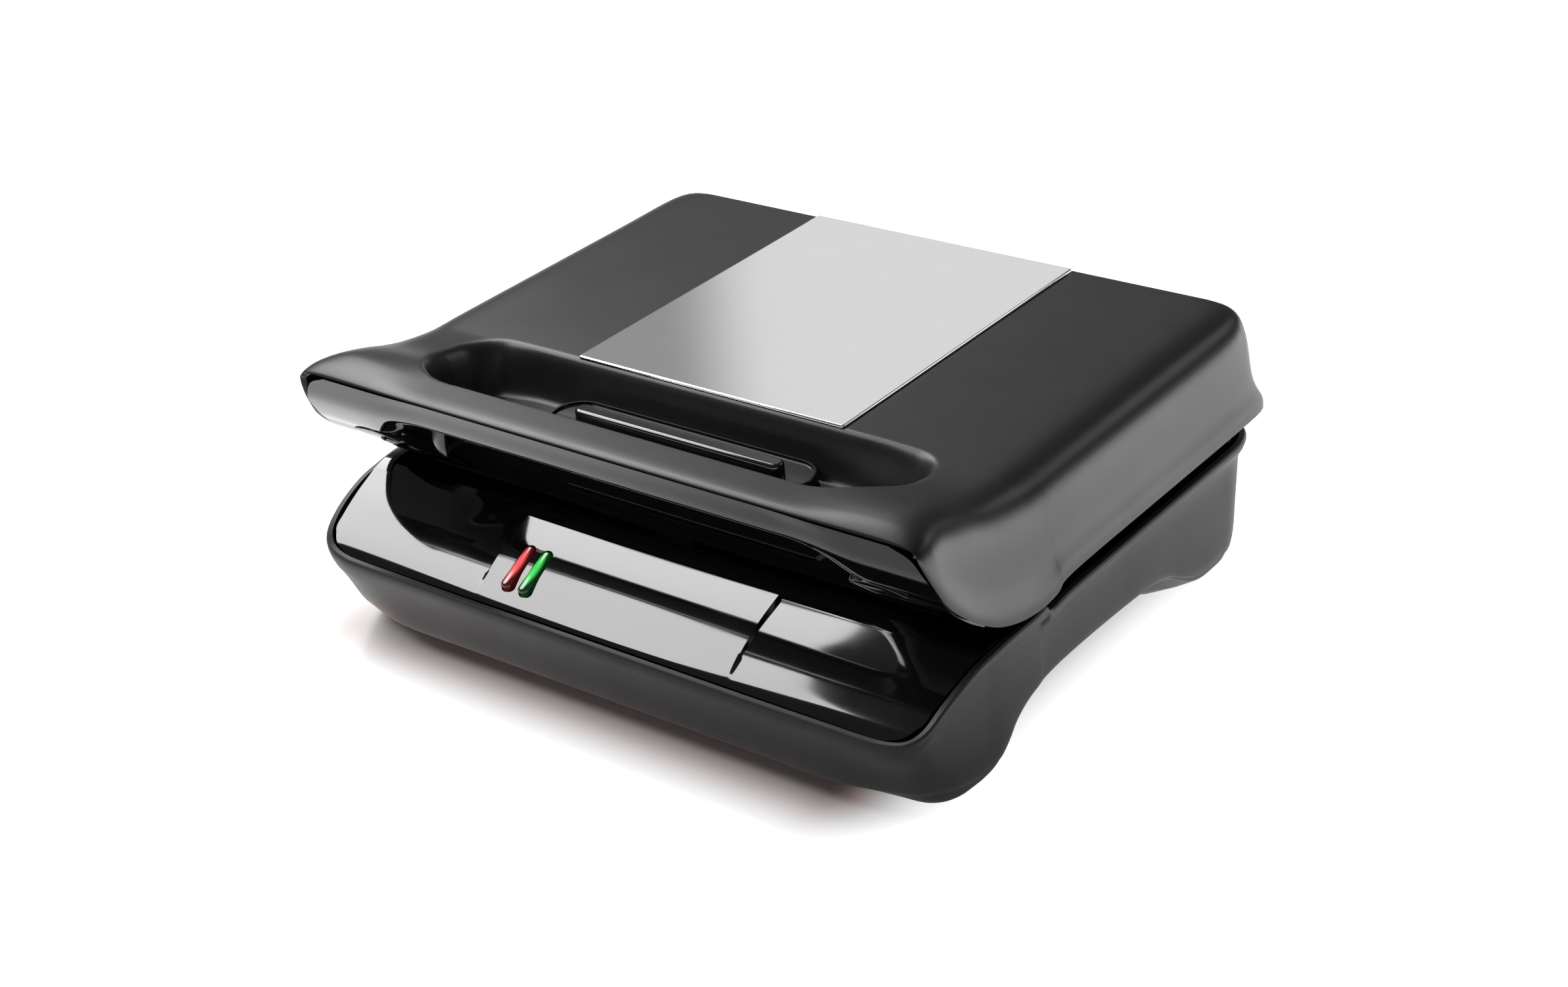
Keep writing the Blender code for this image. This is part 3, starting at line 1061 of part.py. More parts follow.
def hinge_parts(label, x):
    """One hinge: the post and its pin on the base, the floating arm, and the bracket with its two pins."""

    def across(name, radius, overrun, z, sides):
        reach = CHEEK_OUTER + overrun
        return rod(name, radius, (x - reach, HINGE_Y, z), (x + reach, HINGE_Y, z), sides)

    cheek_outline = [(POST_FACE_Y, POST_BOTTOM_Z), (POST_FACE_Y + POST_WEB, POST_BOTTOM_Z)]
    cheek_outline += arc((HINGE_Y, HINGE_Z), CHEEK_ROUND, -20, 110, 6)
    cheek_outline += [(POST_FACE_Y, POST_TOP_Z)]
    name = "hinge_post_" + label
    made = part(name, flat(name, [cheek_outline], 2 * CHEEK_OUTER, upright(x)), matte_grey)
    combine(made, block("post_gap_" + label,
                        (x - CHEEK_INNER, POST_FACE_Y + POST_WEB, POST_BOTTOM_Z - CUT_OVERRUN),
                        (x + CHEEK_INNER, HINGE_Y + 2 * CHEEK_ROUND, POST_TOP_Z + CHEEK_ROUND)), "DIFFERENCE")
    combine(made, across("pin_hole_" + label, PIN_RADIUS + RUNNING_FIT, CUT_OVERRUN, HINGE_Z, HINGE_SIDES),
            "DIFFERENCE")
    name = "hinge_pin_" + label
    part(name, across(name, PIN_RADIUS, PIN_HEAD, HINGE_Z, HINGE_SIDES), steel)

    arm_outline = arc((HINGE_Y, HINGE_Z), ARM_HALF_WIDTH, 180, 360, 6)
    arm_outline += arc((HINGE_Y, ARM_TOP_Z - ARM_HALF_WIDTH), ARM_HALF_WIDTH, 0, 180, 6)
    bore = arc((HINGE_Y, HINGE_Z), PIN_RADIUS + RUNNING_FIT, 0, 330, 11)
    slot_radius = GUIDE_RADIUS + RUNNING_FIT
    slot = arc((HINGE_Y, GUIDE_Z[0]), slot_radius, 180, 360, 6)
    slot += arc((HINGE_Y, GUIDE_Z[1] + FLOAT_TRAVEL), slot_radius, 0, 180, 6)
    name = "hinge_arm_" + label
    arm = flat(name, [arm_outline, bore, slot], 2 * ARM_HALF_THICKNESS, upright(x))
    part(name, arm, matte_grey, lid_hinge)

    name = "lid_bracket_" + label
    made = part(name, block(name, (x - CHEEK_OUTER, BRACKET_FACE_Y, BRACKET_BOTTOM_Z),
                            (x + CHEEK_OUTER, HINGE_Y + ARM_HALF_WIDTH, BRACKET_TOP_Z), BRACKET_ROUND, 2, 0),
                matte_black, lid_float)
    combine(made, block("bracket_gap_" + label,
                        (x - CHEEK_INNER, BRACKET_FACE_Y + BRACKET_WEB, BRACKET_BOTTOM_Z - CUT_OVERRUN),
                        (x + CHEEK_INNER, HINGE_Y + 2 * ARM_HALF_WIDTH, BRACKET_TOP_Z + CUT_OVERRUN)),
            "DIFFERENCE")
    for guide_z, level_name in zip(GUIDE_Z, ("lower", "upper")):
        name = "guide_hole_" + level_name + "_" + label
        hole = across(name, GUIDE_RADIUS + RUNNING_FIT, CUT_OVERRUN, guide_z, GUIDE_SIDES)
        combine(made, hole, "DIFFERENCE")
        name = "guide_pin_" + level_name + "_" + label
        part(name, across(name, GUIDE_RADIUS, PIN_HEAD, guide_z, GUIDE_SIDES), steel, lid_float)


for side, label in ((-1, "left"), (1, "right")):
    hinge_parts(label, side * HINGE_X)

# Cord inlet: a bush through the back wall
INLET_X = -40.0 * MM
INLET_FALL = 12.0 * MM
INLET_Z = BASE_RIM_Z - INLET_FALL
INLET_FLANGE_RADIUS = 8.0 * MM
INLET_RADIUS = 5.5 * MM
INLET_BORE = 3.6 * MM
INLET_FLANGE = 2.0 * MM
INLET_LENGTH = 9.0 * MM
inlet_hole = rod("inlet_hole", INLET_RADIUS + FIT, (INLET_X, BASE_BACK_Y - 2 * INLET_LENGTH, INLET_Z),
                 (INLET_X, BASE_BACK_Y + CUT_OVERRUN, INLET_Z), 16)
combine(base_housing, inlet_hole, "DIFFERENCE")
profile = [(INLET_RADIUS, 0.0), (INLET_RADIUS, -INLET_LENGTH), (INLET_BORE, -INLET_LENGTH),
           (INLET_BORE, INLET_FLANGE), (INLET_FLANGE_RADIUS, INLET_FLANGE), (INLET_FLANGE_RADIUS, 0.0)]
turned("cord_inlet", profile, (INLET_X, BASE_BACK_Y, INLET_Z), (0, 1, 0), rubber_black, None, 16)

# Electrics: thermostat and fuse in the lower reflector, terminal block on the bottom cover
THERMOSTAT_LENGTH = 20.0 * MM
THERMOSTAT_WIDTH = 14.0 * MM
THERMOSTAT_HEIGHT = 6.0 * MM
FUSE_RADIUS = 2.4 * MM
FUSE_HALF_LENGTH = 8.0 * MM
FUSE_X = 34.0 * MM
TERMINAL_LENGTH = 32.0 * MM
TERMINAL_WIDTH = 14.0 * MM
TERMINAL_HEIGHT = 8.0 * MM
TERMINAL_SETBACK = 62.5 * MM
ELECTRICS_ROUND = 1.0 * MM
tray_floor = LOWER_TRAY_Z + TRAY_WALL + FIT
cover_floor = BELLY_Z + BOTTOM_COVER_WALL + FIT


def housing_block(name, length, width, height, x, y, floor_z):
    return part(name, block(name, (x - length / 2, y - width / 2, floor_z),
                            (x + length / 2, y + width / 2, floor_z + height), ELECTRICS_ROUND), ceramic)


housing_block("thermostat", THERMOSTAT_LENGTH, THERMOSTAT_WIDTH, THERMOSTAT_HEIGHT, 0.0, PLATE_MIDDLE_Y,
              tray_floor)
housing_block("terminal_block", TERMINAL_LENGTH, TERMINAL_WIDTH, TERMINAL_HEIGHT, INLET_X,
              BASE_BACK_Y - TERMINAL_SETBACK, cover_floor)
fuse_z = tray_floor + FUSE_RADIUS
part("thermal_fuse", rod("thermal_fuse", FUSE_RADIUS, (FUSE_X, PLATE_MIDDLE_Y - FUSE_HALF_LENGTH, fuse_z),
                         (FUSE_X, PLATE_MIDDLE_Y + FUSE_HALF_LENGTH, fuse_z), 12), aluminised)
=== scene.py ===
# %% [markdown]
# # A compact contact grill, dressed for its picture
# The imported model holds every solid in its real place. This script keeps those places. It gives the
# shells that the eye follows a finer skin, and it gives every surface the finish of its real material.
# All lengths are metres: +Z is up, +X is to the right seen from the front, and the front is at -Y.

import json
import math

import bmesh
import bpy
from mathutils import Matrix, Vector


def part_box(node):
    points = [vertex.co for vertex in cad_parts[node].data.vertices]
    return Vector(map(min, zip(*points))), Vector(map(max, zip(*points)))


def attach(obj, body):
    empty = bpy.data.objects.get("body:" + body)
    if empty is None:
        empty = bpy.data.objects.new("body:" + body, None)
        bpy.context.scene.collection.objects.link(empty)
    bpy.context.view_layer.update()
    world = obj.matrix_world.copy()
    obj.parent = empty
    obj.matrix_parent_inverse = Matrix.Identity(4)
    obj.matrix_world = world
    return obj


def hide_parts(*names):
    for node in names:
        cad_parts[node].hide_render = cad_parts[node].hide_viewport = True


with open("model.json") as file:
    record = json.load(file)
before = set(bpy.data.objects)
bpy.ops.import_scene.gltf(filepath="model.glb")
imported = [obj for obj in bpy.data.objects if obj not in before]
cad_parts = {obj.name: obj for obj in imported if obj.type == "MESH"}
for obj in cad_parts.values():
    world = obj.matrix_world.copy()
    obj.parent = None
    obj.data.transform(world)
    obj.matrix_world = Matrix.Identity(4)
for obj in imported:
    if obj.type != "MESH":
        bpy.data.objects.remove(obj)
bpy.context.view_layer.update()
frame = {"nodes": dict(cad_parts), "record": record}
MM = 0.001

# %% [markdown]
# ## The camera
# The photograph was solved for its camera: the edges of the lid and the base are straight and square, so
# their vanishing points give the angle, and the lens follows from how fast they close. The camera is placed
# by its own three axes, so its slight roll comes along without any guessing at Euler angles.

# %% Camera
CAMERA_AZIMUTH = math.radians(39.316)
CAMERA_ELEVATION = math.radians(28.162)
CAMERA_ROLL = math.radians(-5.002)
CAMERA_PLACE = Vector((0.53294, -0.65863, 0.49018))
CAMERA_LENS = 59.12
CAMERA_SENSOR = 36.0
CAMERA_NEAR = 0.01


def towards(azimuth, elevation):
    """The direction to a place at an azimuth and elevation, where azimuth 0 is in front of the grill."""
    return Vector((math.sin(azimuth) * math.cos(elevation), -math.cos(azimuth) * math.cos(elevation),
                   math.sin(elevation)))


def camera_axes(azimuth, elevation, roll):
    back = towards(azimuth, elevation)
    level_right = Vector((math.cos(azimuth), math.sin(azimuth), 0.0))
    level_up = back.cross(level_right)
    right = level_right * math.cos(roll) + level_up * math.sin(roll)
    up = level_up * math.cos(roll) - level_right * math.sin(roll)
    return Matrix((right, up, back)).transposed()


camera_data = bpy.data.cameras.new("camera")
camera_data.lens = CAMERA_LENS
camera_data.sensor_width = CAMERA_SENSOR
camera_data.clip_start = CAMERA_NEAR
camera = bpy.data.objects.new("camera", camera_data)
bpy.context.scene.collection.objects.link(camera)
turn = camera_axes(CAMERA_AZIMUTH, CAMERA_ELEVATION, CAMERA_ROLL)
camera.matrix_world = Matrix.Translation(CAMERA_PLACE) @ turn.to_4x4()
bpy.context.scene.camera = camera
bpy.context.scene.view_settings.view_transform = "Standard"
print("camera at", tuple(round(value, 3) for value in CAMERA_PLACE), "lens", CAMERA_LENS)

# %% [markdown]
# ## Modelling helpers
# A blank is a primitive that is added at its size and place. An operator works on all that is selected, and
# a loaded model leaves its nodes selected, so each helper first lets go of everything.


# %% Blanks
def only(item):
    """Makes one object the selected and active one, in object mode."""
    if bpy.context.mode != "OBJECT":
        bpy.ops.object.mode_set(mode="OBJECT")
    bpy.ops.object.select_all(action="DESELECT")
    item.select_set(True)
    bpy.context.view_layer.objects.active = item
    return item


def settle(item):
    """Puts the place and size of an object into its mesh, so that it sits at the origin."""
    only(item)
    bpy.ops.object.transform_apply(location=True, rotation=True, scale=True)
    return item


def blank(name, add_primitive, **settings):
    """A primitive under its own name, with nothing else selected."""
    bpy.ops.object.select_all(action="DESELECT")
    add_primitive(**settings)
    made = bpy.context.active_object
    made.name = name
    return made


def block(name, low, high):
    """A cube primitive from its low to its high corner."""
    return settle(blank(name, bpy.ops.mesh.primitive_cube_add, size=1.0,
                        location=[(a + b) / 2 for a, b in zip(low, high)],
                        scale=[b - a for a, b in zip(low, high)]))


# %% [markdown]
# Edit mode shapes a blank. The edges or faces to round, inset or move are picked in code, by where they lie
# and which way they look, within a hair's breadth.

# %% Shaping in edit mode
HAIR = MM / 100


def open_all(item):
    """Opens an object in edit mode with all of its mesh selected."""
    only(item)
    bpy.ops.object.mode_set(mode="EDIT")
    bpy.ops.mesh.select_all(action="SELECT")


def close(item):
    bpy.ops.object.mode_set(mode="OBJECT")
    return item


def pick(item, kind, facts, chosen):
    """Selects the vertices, edges or faces whose facts satisfy a test, in edit mode."""
    only(item)
    bpy.ops.object.mode_set(mode="EDIT")
    bpy.ops.mesh.select_mode(type=kind)
    bpy.ops.mesh.select_all(action="DESELECT")
    mesh = bmesh.from_edit_mesh(item.data)
    for element in {"VERT": mesh.verts, "EDGE": mesh.edges, "FACE": mesh.faces}[kind]:
        if chosen(*facts(element)):
            element.select_set(True)
    bmesh.update_edit_mesh(item.data)


def pick_edges(item, chosen):
    """Selects edges by their two ends."""
    pick(item, "EDGE", lambda edge: [vertex.co for vertex in edge.verts], chosen)


def pick_faces(item, chosen):
    """Selects faces by their middle and normal."""
    pick(item, "FACE", lambda face: (face.calc_center_median(), face.normal), chosen)


def round_edges(item, chosen, radius, segments=3):
    pick_edges(item, chosen)
    bpy.ops.mesh.bevel(offset=radius, segments=segments, affect="EDGES", clamp_overlap=True)
    return close(item)


def upright_edges(first, second):
    return abs(first.x - second.x) < HAIR and abs(first.y - second.y) < HAIR


def edges_above(height):
    """A test for the edges that lie at a height or above it."""
    return lambda first, second: min(first.z, second.z) > height - HAIR


def level_top(middle, normal):
    """A test for the faces that look straight up."""
    return normal.z > 0.999


def flat_ring(item, width):
    """A narrow flat ring inside each level top face, so that rounded edges don't bend its shading."""
    pick_faces(item, level_top)
    bpy.ops.mesh.inset(thickness=width)
    return close(item)


# %% [markdown]
# Modifiers, smooth shading and joins finish a piece. It then gets its material and its body, and it stands
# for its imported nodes, so that the joints move it in their place.


# %% Finishing a piece
def modified(item, kind, **settings):
    """Adds a modifier with these settings and applies it."""
    modifier = item.modifiers.new(kind.lower(), kind)
    for name, value in settings.items():
        setattr(modifier, name, value)
    only(item)
    bpy.ops.object.modifier_apply(modifier=modifier.name)
    return item


def soften(item, angle=35.0):
    only(item)
    bpy.ops.object.shade_smooth_by_angle(angle=math.radians(angle))
    return item


def join(first, *others):
    bpy.ops.object.select_all(action="DESELECT")
    for item in (first, *others):
        item.select_set(True)
    bpy.context.view_layer.objects.active = first
    bpy.ops.object.join()
    return first


def dress(item, body, material, slot, *nodes):
    """Gives a finished piece its material and body, and lets it stand for its CAD nodes."""
    item.data.materials.clear()
    item.data.materials.append(material)
    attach(item, body)
    if nodes:
        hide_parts(*nodes)
    print(item.name, "faces:", len(item.data.polygons))
    return item


# %% [markdown]
# ## Materials
# A material is a tree of nodes. Two helpers add a node by its kind and feed its sockets, each with a value
# or with another node's result, so that a tree reads like a sum.


# %% Node helpers
def plug(tree, socket, value):
    """Feeds a socket with another node's result, or with a value of its own."""
    if isinstance(value, bpy.types.NodeSocket):
        tree.links.new(value, socket)
    else:
        socket.default_value = value


def add(tree, kind, result, properties=None, **sockets):
    """Adds a node, feeds its sockets by name, and returns one of its results."""
    made = tree.nodes.new("ShaderNode" + kind)
    for name, value in (properties or {}).items():
        setattr(made, name, value)
    for name, value in sockets.items():
        plug(tree, made.inputs[name.replace("_", " ")], value)
    return made.outputs[result]


def maths(tree, operation, *terms, kind="Math", result="Value"):
    """Adds a maths node, whose terms are values or other nodes' results."""
    made = tree.nodes.new("ShaderNode" + kind)
    made.operation = operation
    for socket, term in zip(made.inputs, terms):
        plug(tree, socket, term)
    return made.outputs[result]


def vector_maths(tree, operation, *terms):
    result = "Value" if operation in ("LENGTH", "DOT_PRODUCT") else "Vector"
    return maths(tree, operation, *terms, kind="VectorMath", result=result)


def fade(tree, measure, near, far, low, high):
    """A smooth change from low to high while a measure goes from near to far."""
    return add(tree, "MapRange", "Result", {"interpolation_type": "SMOOTHSTEP"}, Value=measure,
               From_Min=near, From_Max=far, To_Min=low, To_Max=high)


# %% [markdown]
# ### Moulded finishes
# One set of nodes serves every solid material here. Fine noise gives the grain that a mould leaves, a
# slower noise shifts the roughness a little, as handling and light dust do, and both read Object
# coordinates, so they stay on the surface and need no unwrapping. Values that are the same all over are
# set on the shader's own sockets, because an export drops them when they are linked.

# %% Material helper
PATCH_SCALE = 38.0
DRIFT_SCALE = 90.0
GRAIN_HEIGHT = 0.05 * MM
NOISE_LOW = 0.3
NOISE_HIGH = 0.7


def finish(name, color, roughness, metallic=0.0, grain=0.0, grain_size=0.6 * MM, patches=0.06, tone=0.10,
           **sockets):
    """A Principled material with grain, roughness patches and a slight drift of tone."""
    made = bpy.data.materials.new(name)
    made.use_nodes = True
    tree = made.node_tree
    shader = tree.nodes["Principled BSDF"]
    place = add(tree, "TexCoord", "Object")

    def noise(scale, detail):
        return add(tree, "TexNoise", "Fac", Vector=place, Scale=scale, Detail=detail)

    def spread(source, low, high):
        return add(tree, "MapRange", "Result", Value=source, From_Min=NOISE_LOW, From_Max=NOISE_HIGH,
                   To_Min=low, To_Max=high)

    dark, light = [(*[value * share for value in color], 1.0) for share in (1 - tone, 1 + tone)]
    patchy = spread(noise(PATCH_SCALE, 5.0), roughness * (1 - patches), roughness * (1 + patches))
    drift = add(tree, "Mix", "Result", {"data_type": "RGBA"}, A=dark, B=light,
                Factor=spread(noise(DRIFT_SCALE, 3.0), 0.0, 1.0))
    sockets = {"Metallic": metallic, "Roughness": patchy, "Base_Color": drift, **sockets}
    if grain > 0:
        sockets["Normal"] = add(tree, "Bump", "Normal", Strength=grain, Distance=GRAIN_HEIGHT,
                                Height=noise(1.0 / grain_size, 2.0))
    for socket, value in sockets.items():
        plug(tree, shader.inputs[socket.replace("_", " ")], value)
    return made


satin_black = finish("satin_black", (0.009, 0.009, 0.0095), 0.36, grain=0.35, Specular_IOR_Level=0.3)
satin_grey = finish("satin_grey", (0.020, 0.0195, 0.020), 0.48, grain=0.35, Specular_IOR_Level=0.3)
piano_black = finish("piano_black", (0.003, 0.003, 0.0033), 0.06, patches=0.3, IOR=1.53)
latch_black = finish("latch_black", (0.008, 0.0075, 0.0075), 0.12, patches=0.2)
print("moulded finishes:", satin_black.name, satin_grey.name, piano_black.name, latch_black.name)

# %% [markdown]
# ## The lid cover
# The real cover is one moulding: a flat top that swells into a lip along the front and rolls over soft
# shoulders into the sides and the back. No primitive comes near it, so a grid primitive is stretched over
# stations: each row of the grid takes its points from a table of where the lid's middle and its side edge
# run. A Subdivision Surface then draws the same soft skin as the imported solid, only finer.

# %% Places of the lid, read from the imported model
lid_low, lid_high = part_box("lid_cover")
panel_low, panel_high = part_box("steel_panel")
LID_HALF_WIDTH = 140.6 * MM
LID_REACH = 112.0 * MM
LID_TOP_Z = 98.4 * MM
LID_DROP = 43.7 * MM
LIP_RISE = 7.4 * MM
SHELL_WALL = 2.2 * MM
SHOULDER_X = 118.0 * MM
SHOULDER_BACK_Y = 84.5 * MM
LID_BACK_SPAN = 24.0 * MM
CORNER_SHARE = 0.97
LID_EDGE_SHARE = 0.892
print("lid cover from", tuple(lid_low), "to", tuple(lid_high))

# %% Stations of the lid
# How far each column stands from the middle towards the shoulder
LID_COLUMN_SHARES = (0.0, 0.28, 0.50, 0.62, 0.69, 0.735, 0.778, 0.82, 0.8625, 0.905, 1.0)
# For each row: its middle's place and rise, then its side edge's width, place and drop
LID_ROW_SHARES = (
    (-0.998, 0.84, 0.961, -1.000, -0.057),
    (-1.000, 1.02, 0.975, -0.988, 0.060),
    (-0.958, 1.26, 0.990, -0.940, 0.330),
    (-0.890, 1.36, 0.996, -0.885, 0.485),
    (-0.862, 1.36, 0.999, -0.815, 0.645),
    (-0.760, 1.02, 1.000, -0.735, 0.785),
    (-0.640, 0.34, 1.000, -0.670, 0.880),
    (-0.458, 0.00, 1.000, -0.549, 0.979),
    (-0.432, 0.00, 1.000, -0.450, 1.000),
    (-0.400, 0.00, 1.000, -0.372, 1.000),
    (-0.330, 0.00, 1.000, -0.350, LID_EDGE_SHARE),
    (0.030, 0.00, 1.000, 0.030, LID_EDGE_SHARE),
    (0.560, 0.00, 1.000, 0.600, LID_EDGE_SHARE),
    (0.880, 0.00, 1.000, 1.100, LID_EDGE_SHARE),
)
# How far out and down each point of a side stands, between the shoulder and the edge
SIDE_SHARES = ((0.42, 0.012), (0.74, 0.13), (0.83, 0.42), (0.86, 0.72), (1.00, 0.90), (0.99, 1.00))
# The lip's two ends have no flange: they round over and fall straight down
LIP_SIDE_SHARES = ((0.42, 0.0), (0.74, 0.03), (0.89, 0.15), (0.965, 0.40), (1.00, 0.76), (0.99, 1.00))
FLANGE_START_SHARE = 0.20
FLANGE_SPAN_SHARE = 0.45
BACK_SHARES = ((0.79, 0.00), (0.83, 0.03), (0.84, 0.38), (0.845, 0.77), (1.00, 0.91), (0.99, 1.00))
# How many finer rows stand for each span between two stations, where the finger recess needs them
LID_SPAN_STEPS = (1, 1, 3, 2, 4, 4, 5, 2, 1, 2)
# Along the finger recess the lip rises only so far. Towards its ends it climbs to the table's heights
LIP_LOW_SHARE = 1.02
LIP_END_SHARE = 0.66
print("stations of the lid:", len(LID_ROW_SHARES))

# %% [markdown]
# Each station gives one row of points. Where the finger recess needs a finer net, extra rows lie between
# two stations, on the cubic spline that subdivision itself draws, so they don't change the lid's form.


# %% Rows of the lid
def mix(first, second, share):
    return first + (second - first) * share


def ease(share):
    share = min(max(share, 0.0), 1.0)
    return share * share * (3 - 2 * share)


def along_lid(share):
    return share * (LID_REACH if share < 0 else SHOULDER_BACK_Y)


def lip_height(rise, share):
    """The height of the lid's top at a share of the way from its middle to its shoulder."""
    if rise > LIP_LOW_SHARE:
        rise = mix(LIP_LOW_SHARE, rise, ease((share - LIP_END_SHARE) / (1 - LIP_END_SHARE)))
    return LID_TOP_Z + rise * LIP_RISE


def lid_row(middle_y, rise, edge_x, edge_y, edge_drop):
    y = along_lid(middle_y)
    z = LID_TOP_Z + rise * LIP_RISE
    row = [Vector((share * SHOULDER_X, y, lip_height(rise, share))) for share in LID_COLUMN_SHARES]
    edge = (edge_x * LID_HALF_WIDTH, along_lid(edge_y), LID_TOP_Z - edge_drop * LID_DROP)
    flange = ease((edge_drop - FLANGE_START_SHARE) / FLANGE_SPAN_SHARE)
    for lip_share, side_share in zip(LIP_SIDE_SHARES, SIDE_SHARES):
        out, down = (mix(first, second, flange) for first, second in zip(lip_share, side_share))
        row.append(Vector((mix(SHOULDER_X, edge[0], out), mix(y, edge[1], down), mix(z, edge[2], down))))
    return row


def knot_weights(share):
    """The weights of four neighbours on a uniform cubic spline, the curve that subdivision draws."""
    return ((1 - share) ** 3 / 6, (3 * share ** 3 - 6 * share ** 2 + 4) / 6,
            (-3 * share ** 3 + 3 * share ** 2 + 3 * share + 1) / 6, share ** 3 / 6)


def spline_row(rows, index, share):
    """A row between two stations, on the spline through their neighbours."""
    before = rows[index - 1] if index > 0 else [2 * a - b for a, b in zip(rows[0], rows[1])]
    neighbours = (before, rows[index], rows[index + 1], rows[index + 2])
    weights = knot_weights(share)
    return [sum((weight * row[column] for weight, row in zip(weights, neighbours)), Vector())
            for column in range(len(rows[0]))]


coarse_rows = [lid_row(*shares) for shares in LID_ROW_SHARES]
lid_rows = []
for index, steps in enumerate(LID_SPAN_STEPS):
    lid_rows += [spline_row(coarse_rows, index, step / steps) for step in range(steps)]
lid_rows += coarse_rows[len(LID_SPAN_STEPS):]
print("lid rows:", len(lid_rows), "columns:", len(lid_rows[0]))


# %% Stretch grid primitives over the stations
MERGE_REACH = 0.02 * MM


def stretched_grid(name, rows):
    """A grid primitive with one row and column for each station, moved onto the stations."""
    made = blank(name, bpy.ops.mesh.primitive_grid_add, x_subdivisions=len(rows[0]) - 1,
                 y_subdivisions=len(rows) - 1, size=1.0)
    for vertex, point in zip(made.data.vertices, [point for row in rows for point in row]):
        vertex.co = point
    return made


def merged(item):
    open_all(item)
    bpy.ops.mesh.remove_doubles(threshold=MERGE_REACH)
    bpy.ops.mesh.normals_make_consistent(inside=False)
    return close(item)


def mirrored(item):
    """The other half across the middle plane, with its normals set again because a mirror turns them."""
    return merged(modified(item, "MIRROR", use_clip=True, merge_threshold=MERGE_REACH))


def walled(item, thickness):
    return modified(item, "SOLIDIFY", thickness=thickness, offset=-1.0)


def lid_skin():
    """The front sheet from the lip to the shoulders, and the back sheet that turns down behind them."""
    shoulder = [Vector((share * SHOULDER_X, SHOULDER_BACK_Y, LID_TOP_Z)) for share in LID_COLUMN_SHARES]
    edge_drop = LID_EDGE_SHARE * LID_DROP
    back = [shoulder]
    corner = []
    for (side_out, side_down), (back_out, back_down) in zip(SIDE_SHARES, BACK_SHARES):
        y = SHOULDER_BACK_Y + back_out * LID_BACK_SPAN
        z = LID_TOP_Z - back_down * edge_drop
        seam = Vector((mix(SHOULDER_X, LID_HALF_WIDTH, side_out * CORNER_SHARE),
                       mix(SHOULDER_BACK_Y, y, CORNER_SHARE),
                       LID_TOP_Z - (side_down + back_down) / 2 * edge_drop))
        corner.append(seam)
        back.append([Vector((share * seam.x, y, z)) for share in LID_COLUMN_SHARES[:-1]] + [seam])
    front = stretched_grid("lid_cover_skin", lid_rows + [shoulder + corner])
    return mirrored(merged(join(front, stretched_grid("back_skin", back))))


lid_cover = modified(lid_skin(), "SUBSURF", levels=2, render_levels=2)
print("lid skin faces:", len(lid_cover.data.polygons))

# %% [markdown]
# ### The finger recess
# The recess is a rounded trough in the fine skin. Its outline is a rounded rectangle with tighter corners
# at the back than at the front, and a place sinks by how far it lies inside that outline. Sinking the fine
# skin gives one unbroken surface with a soft rim, which a cut-out tool would leave sharp. The front wall
# leans forward under the lip.

# %% Sink the recess
RECESS_DEPTH = 18.0 * MM
RECESS_MIDDLE_Y = -70.6 * MM
RECESS_HALF_LENGTH = 107.0 * MM
RECESS_HALF_WIDTH = 25.6 * MM
RECESS_BACK_RADIUS = 17.0 * MM
RECESS_FRONT_RADIUS = 29.0 * MM
RECESS_FLOOR_Z = LID_TOP_Z - RECESS_DEPTH
RECESS_BACK_SLOPE = 9.5 * MM
RECESS_END_SLOPE = 17.0 * MM
RECESS_FRONT_SLOPE = 7.0 * MM
RECESS_FOOT_Y = -99.6 * MM
RECESS_LEAN_END_Y = -85.0 * MM
TOP_SKIN_REACH = 1.0 * MM


def inside_recess(x, y):
    """How far a place lies inside the recess's outline; negative outside."""
    across = abs(x)
    along = y - RECESS_MIDDLE_Y
    radius = RECESS_BACK_RADIUS if along > 0 else RECESS_FRONT_RADIUS
    past_x = across - RECESS_HALF_LENGTH + radius
    past_y = abs(along) - RECESS_HALF_WIDTH + radius
    outside = math.hypot(max(past_x, 0.0), max(past_y, 0.0))
    return radius - outside - min(max(past_x, past_y), 0.0)


def soft_ease(share):
    """Starts and ends more softly than ease, so that the recess's rim shows no crease."""
    return share ** 3 * (share * (share * 6 - 15) + 10)


def sink_recess(item):
    """Lowers the top skin inside the outline, and leans the front wall."""
    for vertex in item.data.vertices:
        x, y, z = vertex.co
        depth = inside_recess(x, y)
        if depth <= 0 or z < LID_TOP_Z - TOP_SKIN_REACH:
            continue
        end = ease((abs(x) - RECESS_HALF_LENGTH + 2 * RECESS_END_SLOPE) / (2 * RECESS_END_SLOPE))
        long_slope = mix(RECESS_FRONT_SLOPE, RECESS_BACK_SLOPE,
                         ease((y - RECESS_MIDDLE_Y) / RECESS_HALF_WIDTH + 0.5))
        slope = mix(long_slope, RECESS_END_SLOPE, end)
        sunk = soft_ease(min(depth / slope, 1.0))
        vertex.co.z = mix(z, RECESS_FLOOR_Z, sunk)
        if y < RECESS_LEAN_END_Y:
            vertex.co.y = mix(y, min(y, RECESS_FOOT_Y), sunk * (1 - end))


sink_recess(lid_cover)
walled(lid_cover, SHELL_WALL)
print("recess floor at", round(RECESS_FLOOR_Z / MM, 1), "mm")

# %% Cut the latch's opening in the recess's floor
LATCH_HALF_LENGTH = 57.3 * MM
LATCH_HALF_WIDTH = 11.0 * MM
LATCH_MIDDLE_Y = -63.0 * MM
LATCH_GAP = 0.6 * MM
LATCH_TOP_Z = 84.5 * MM


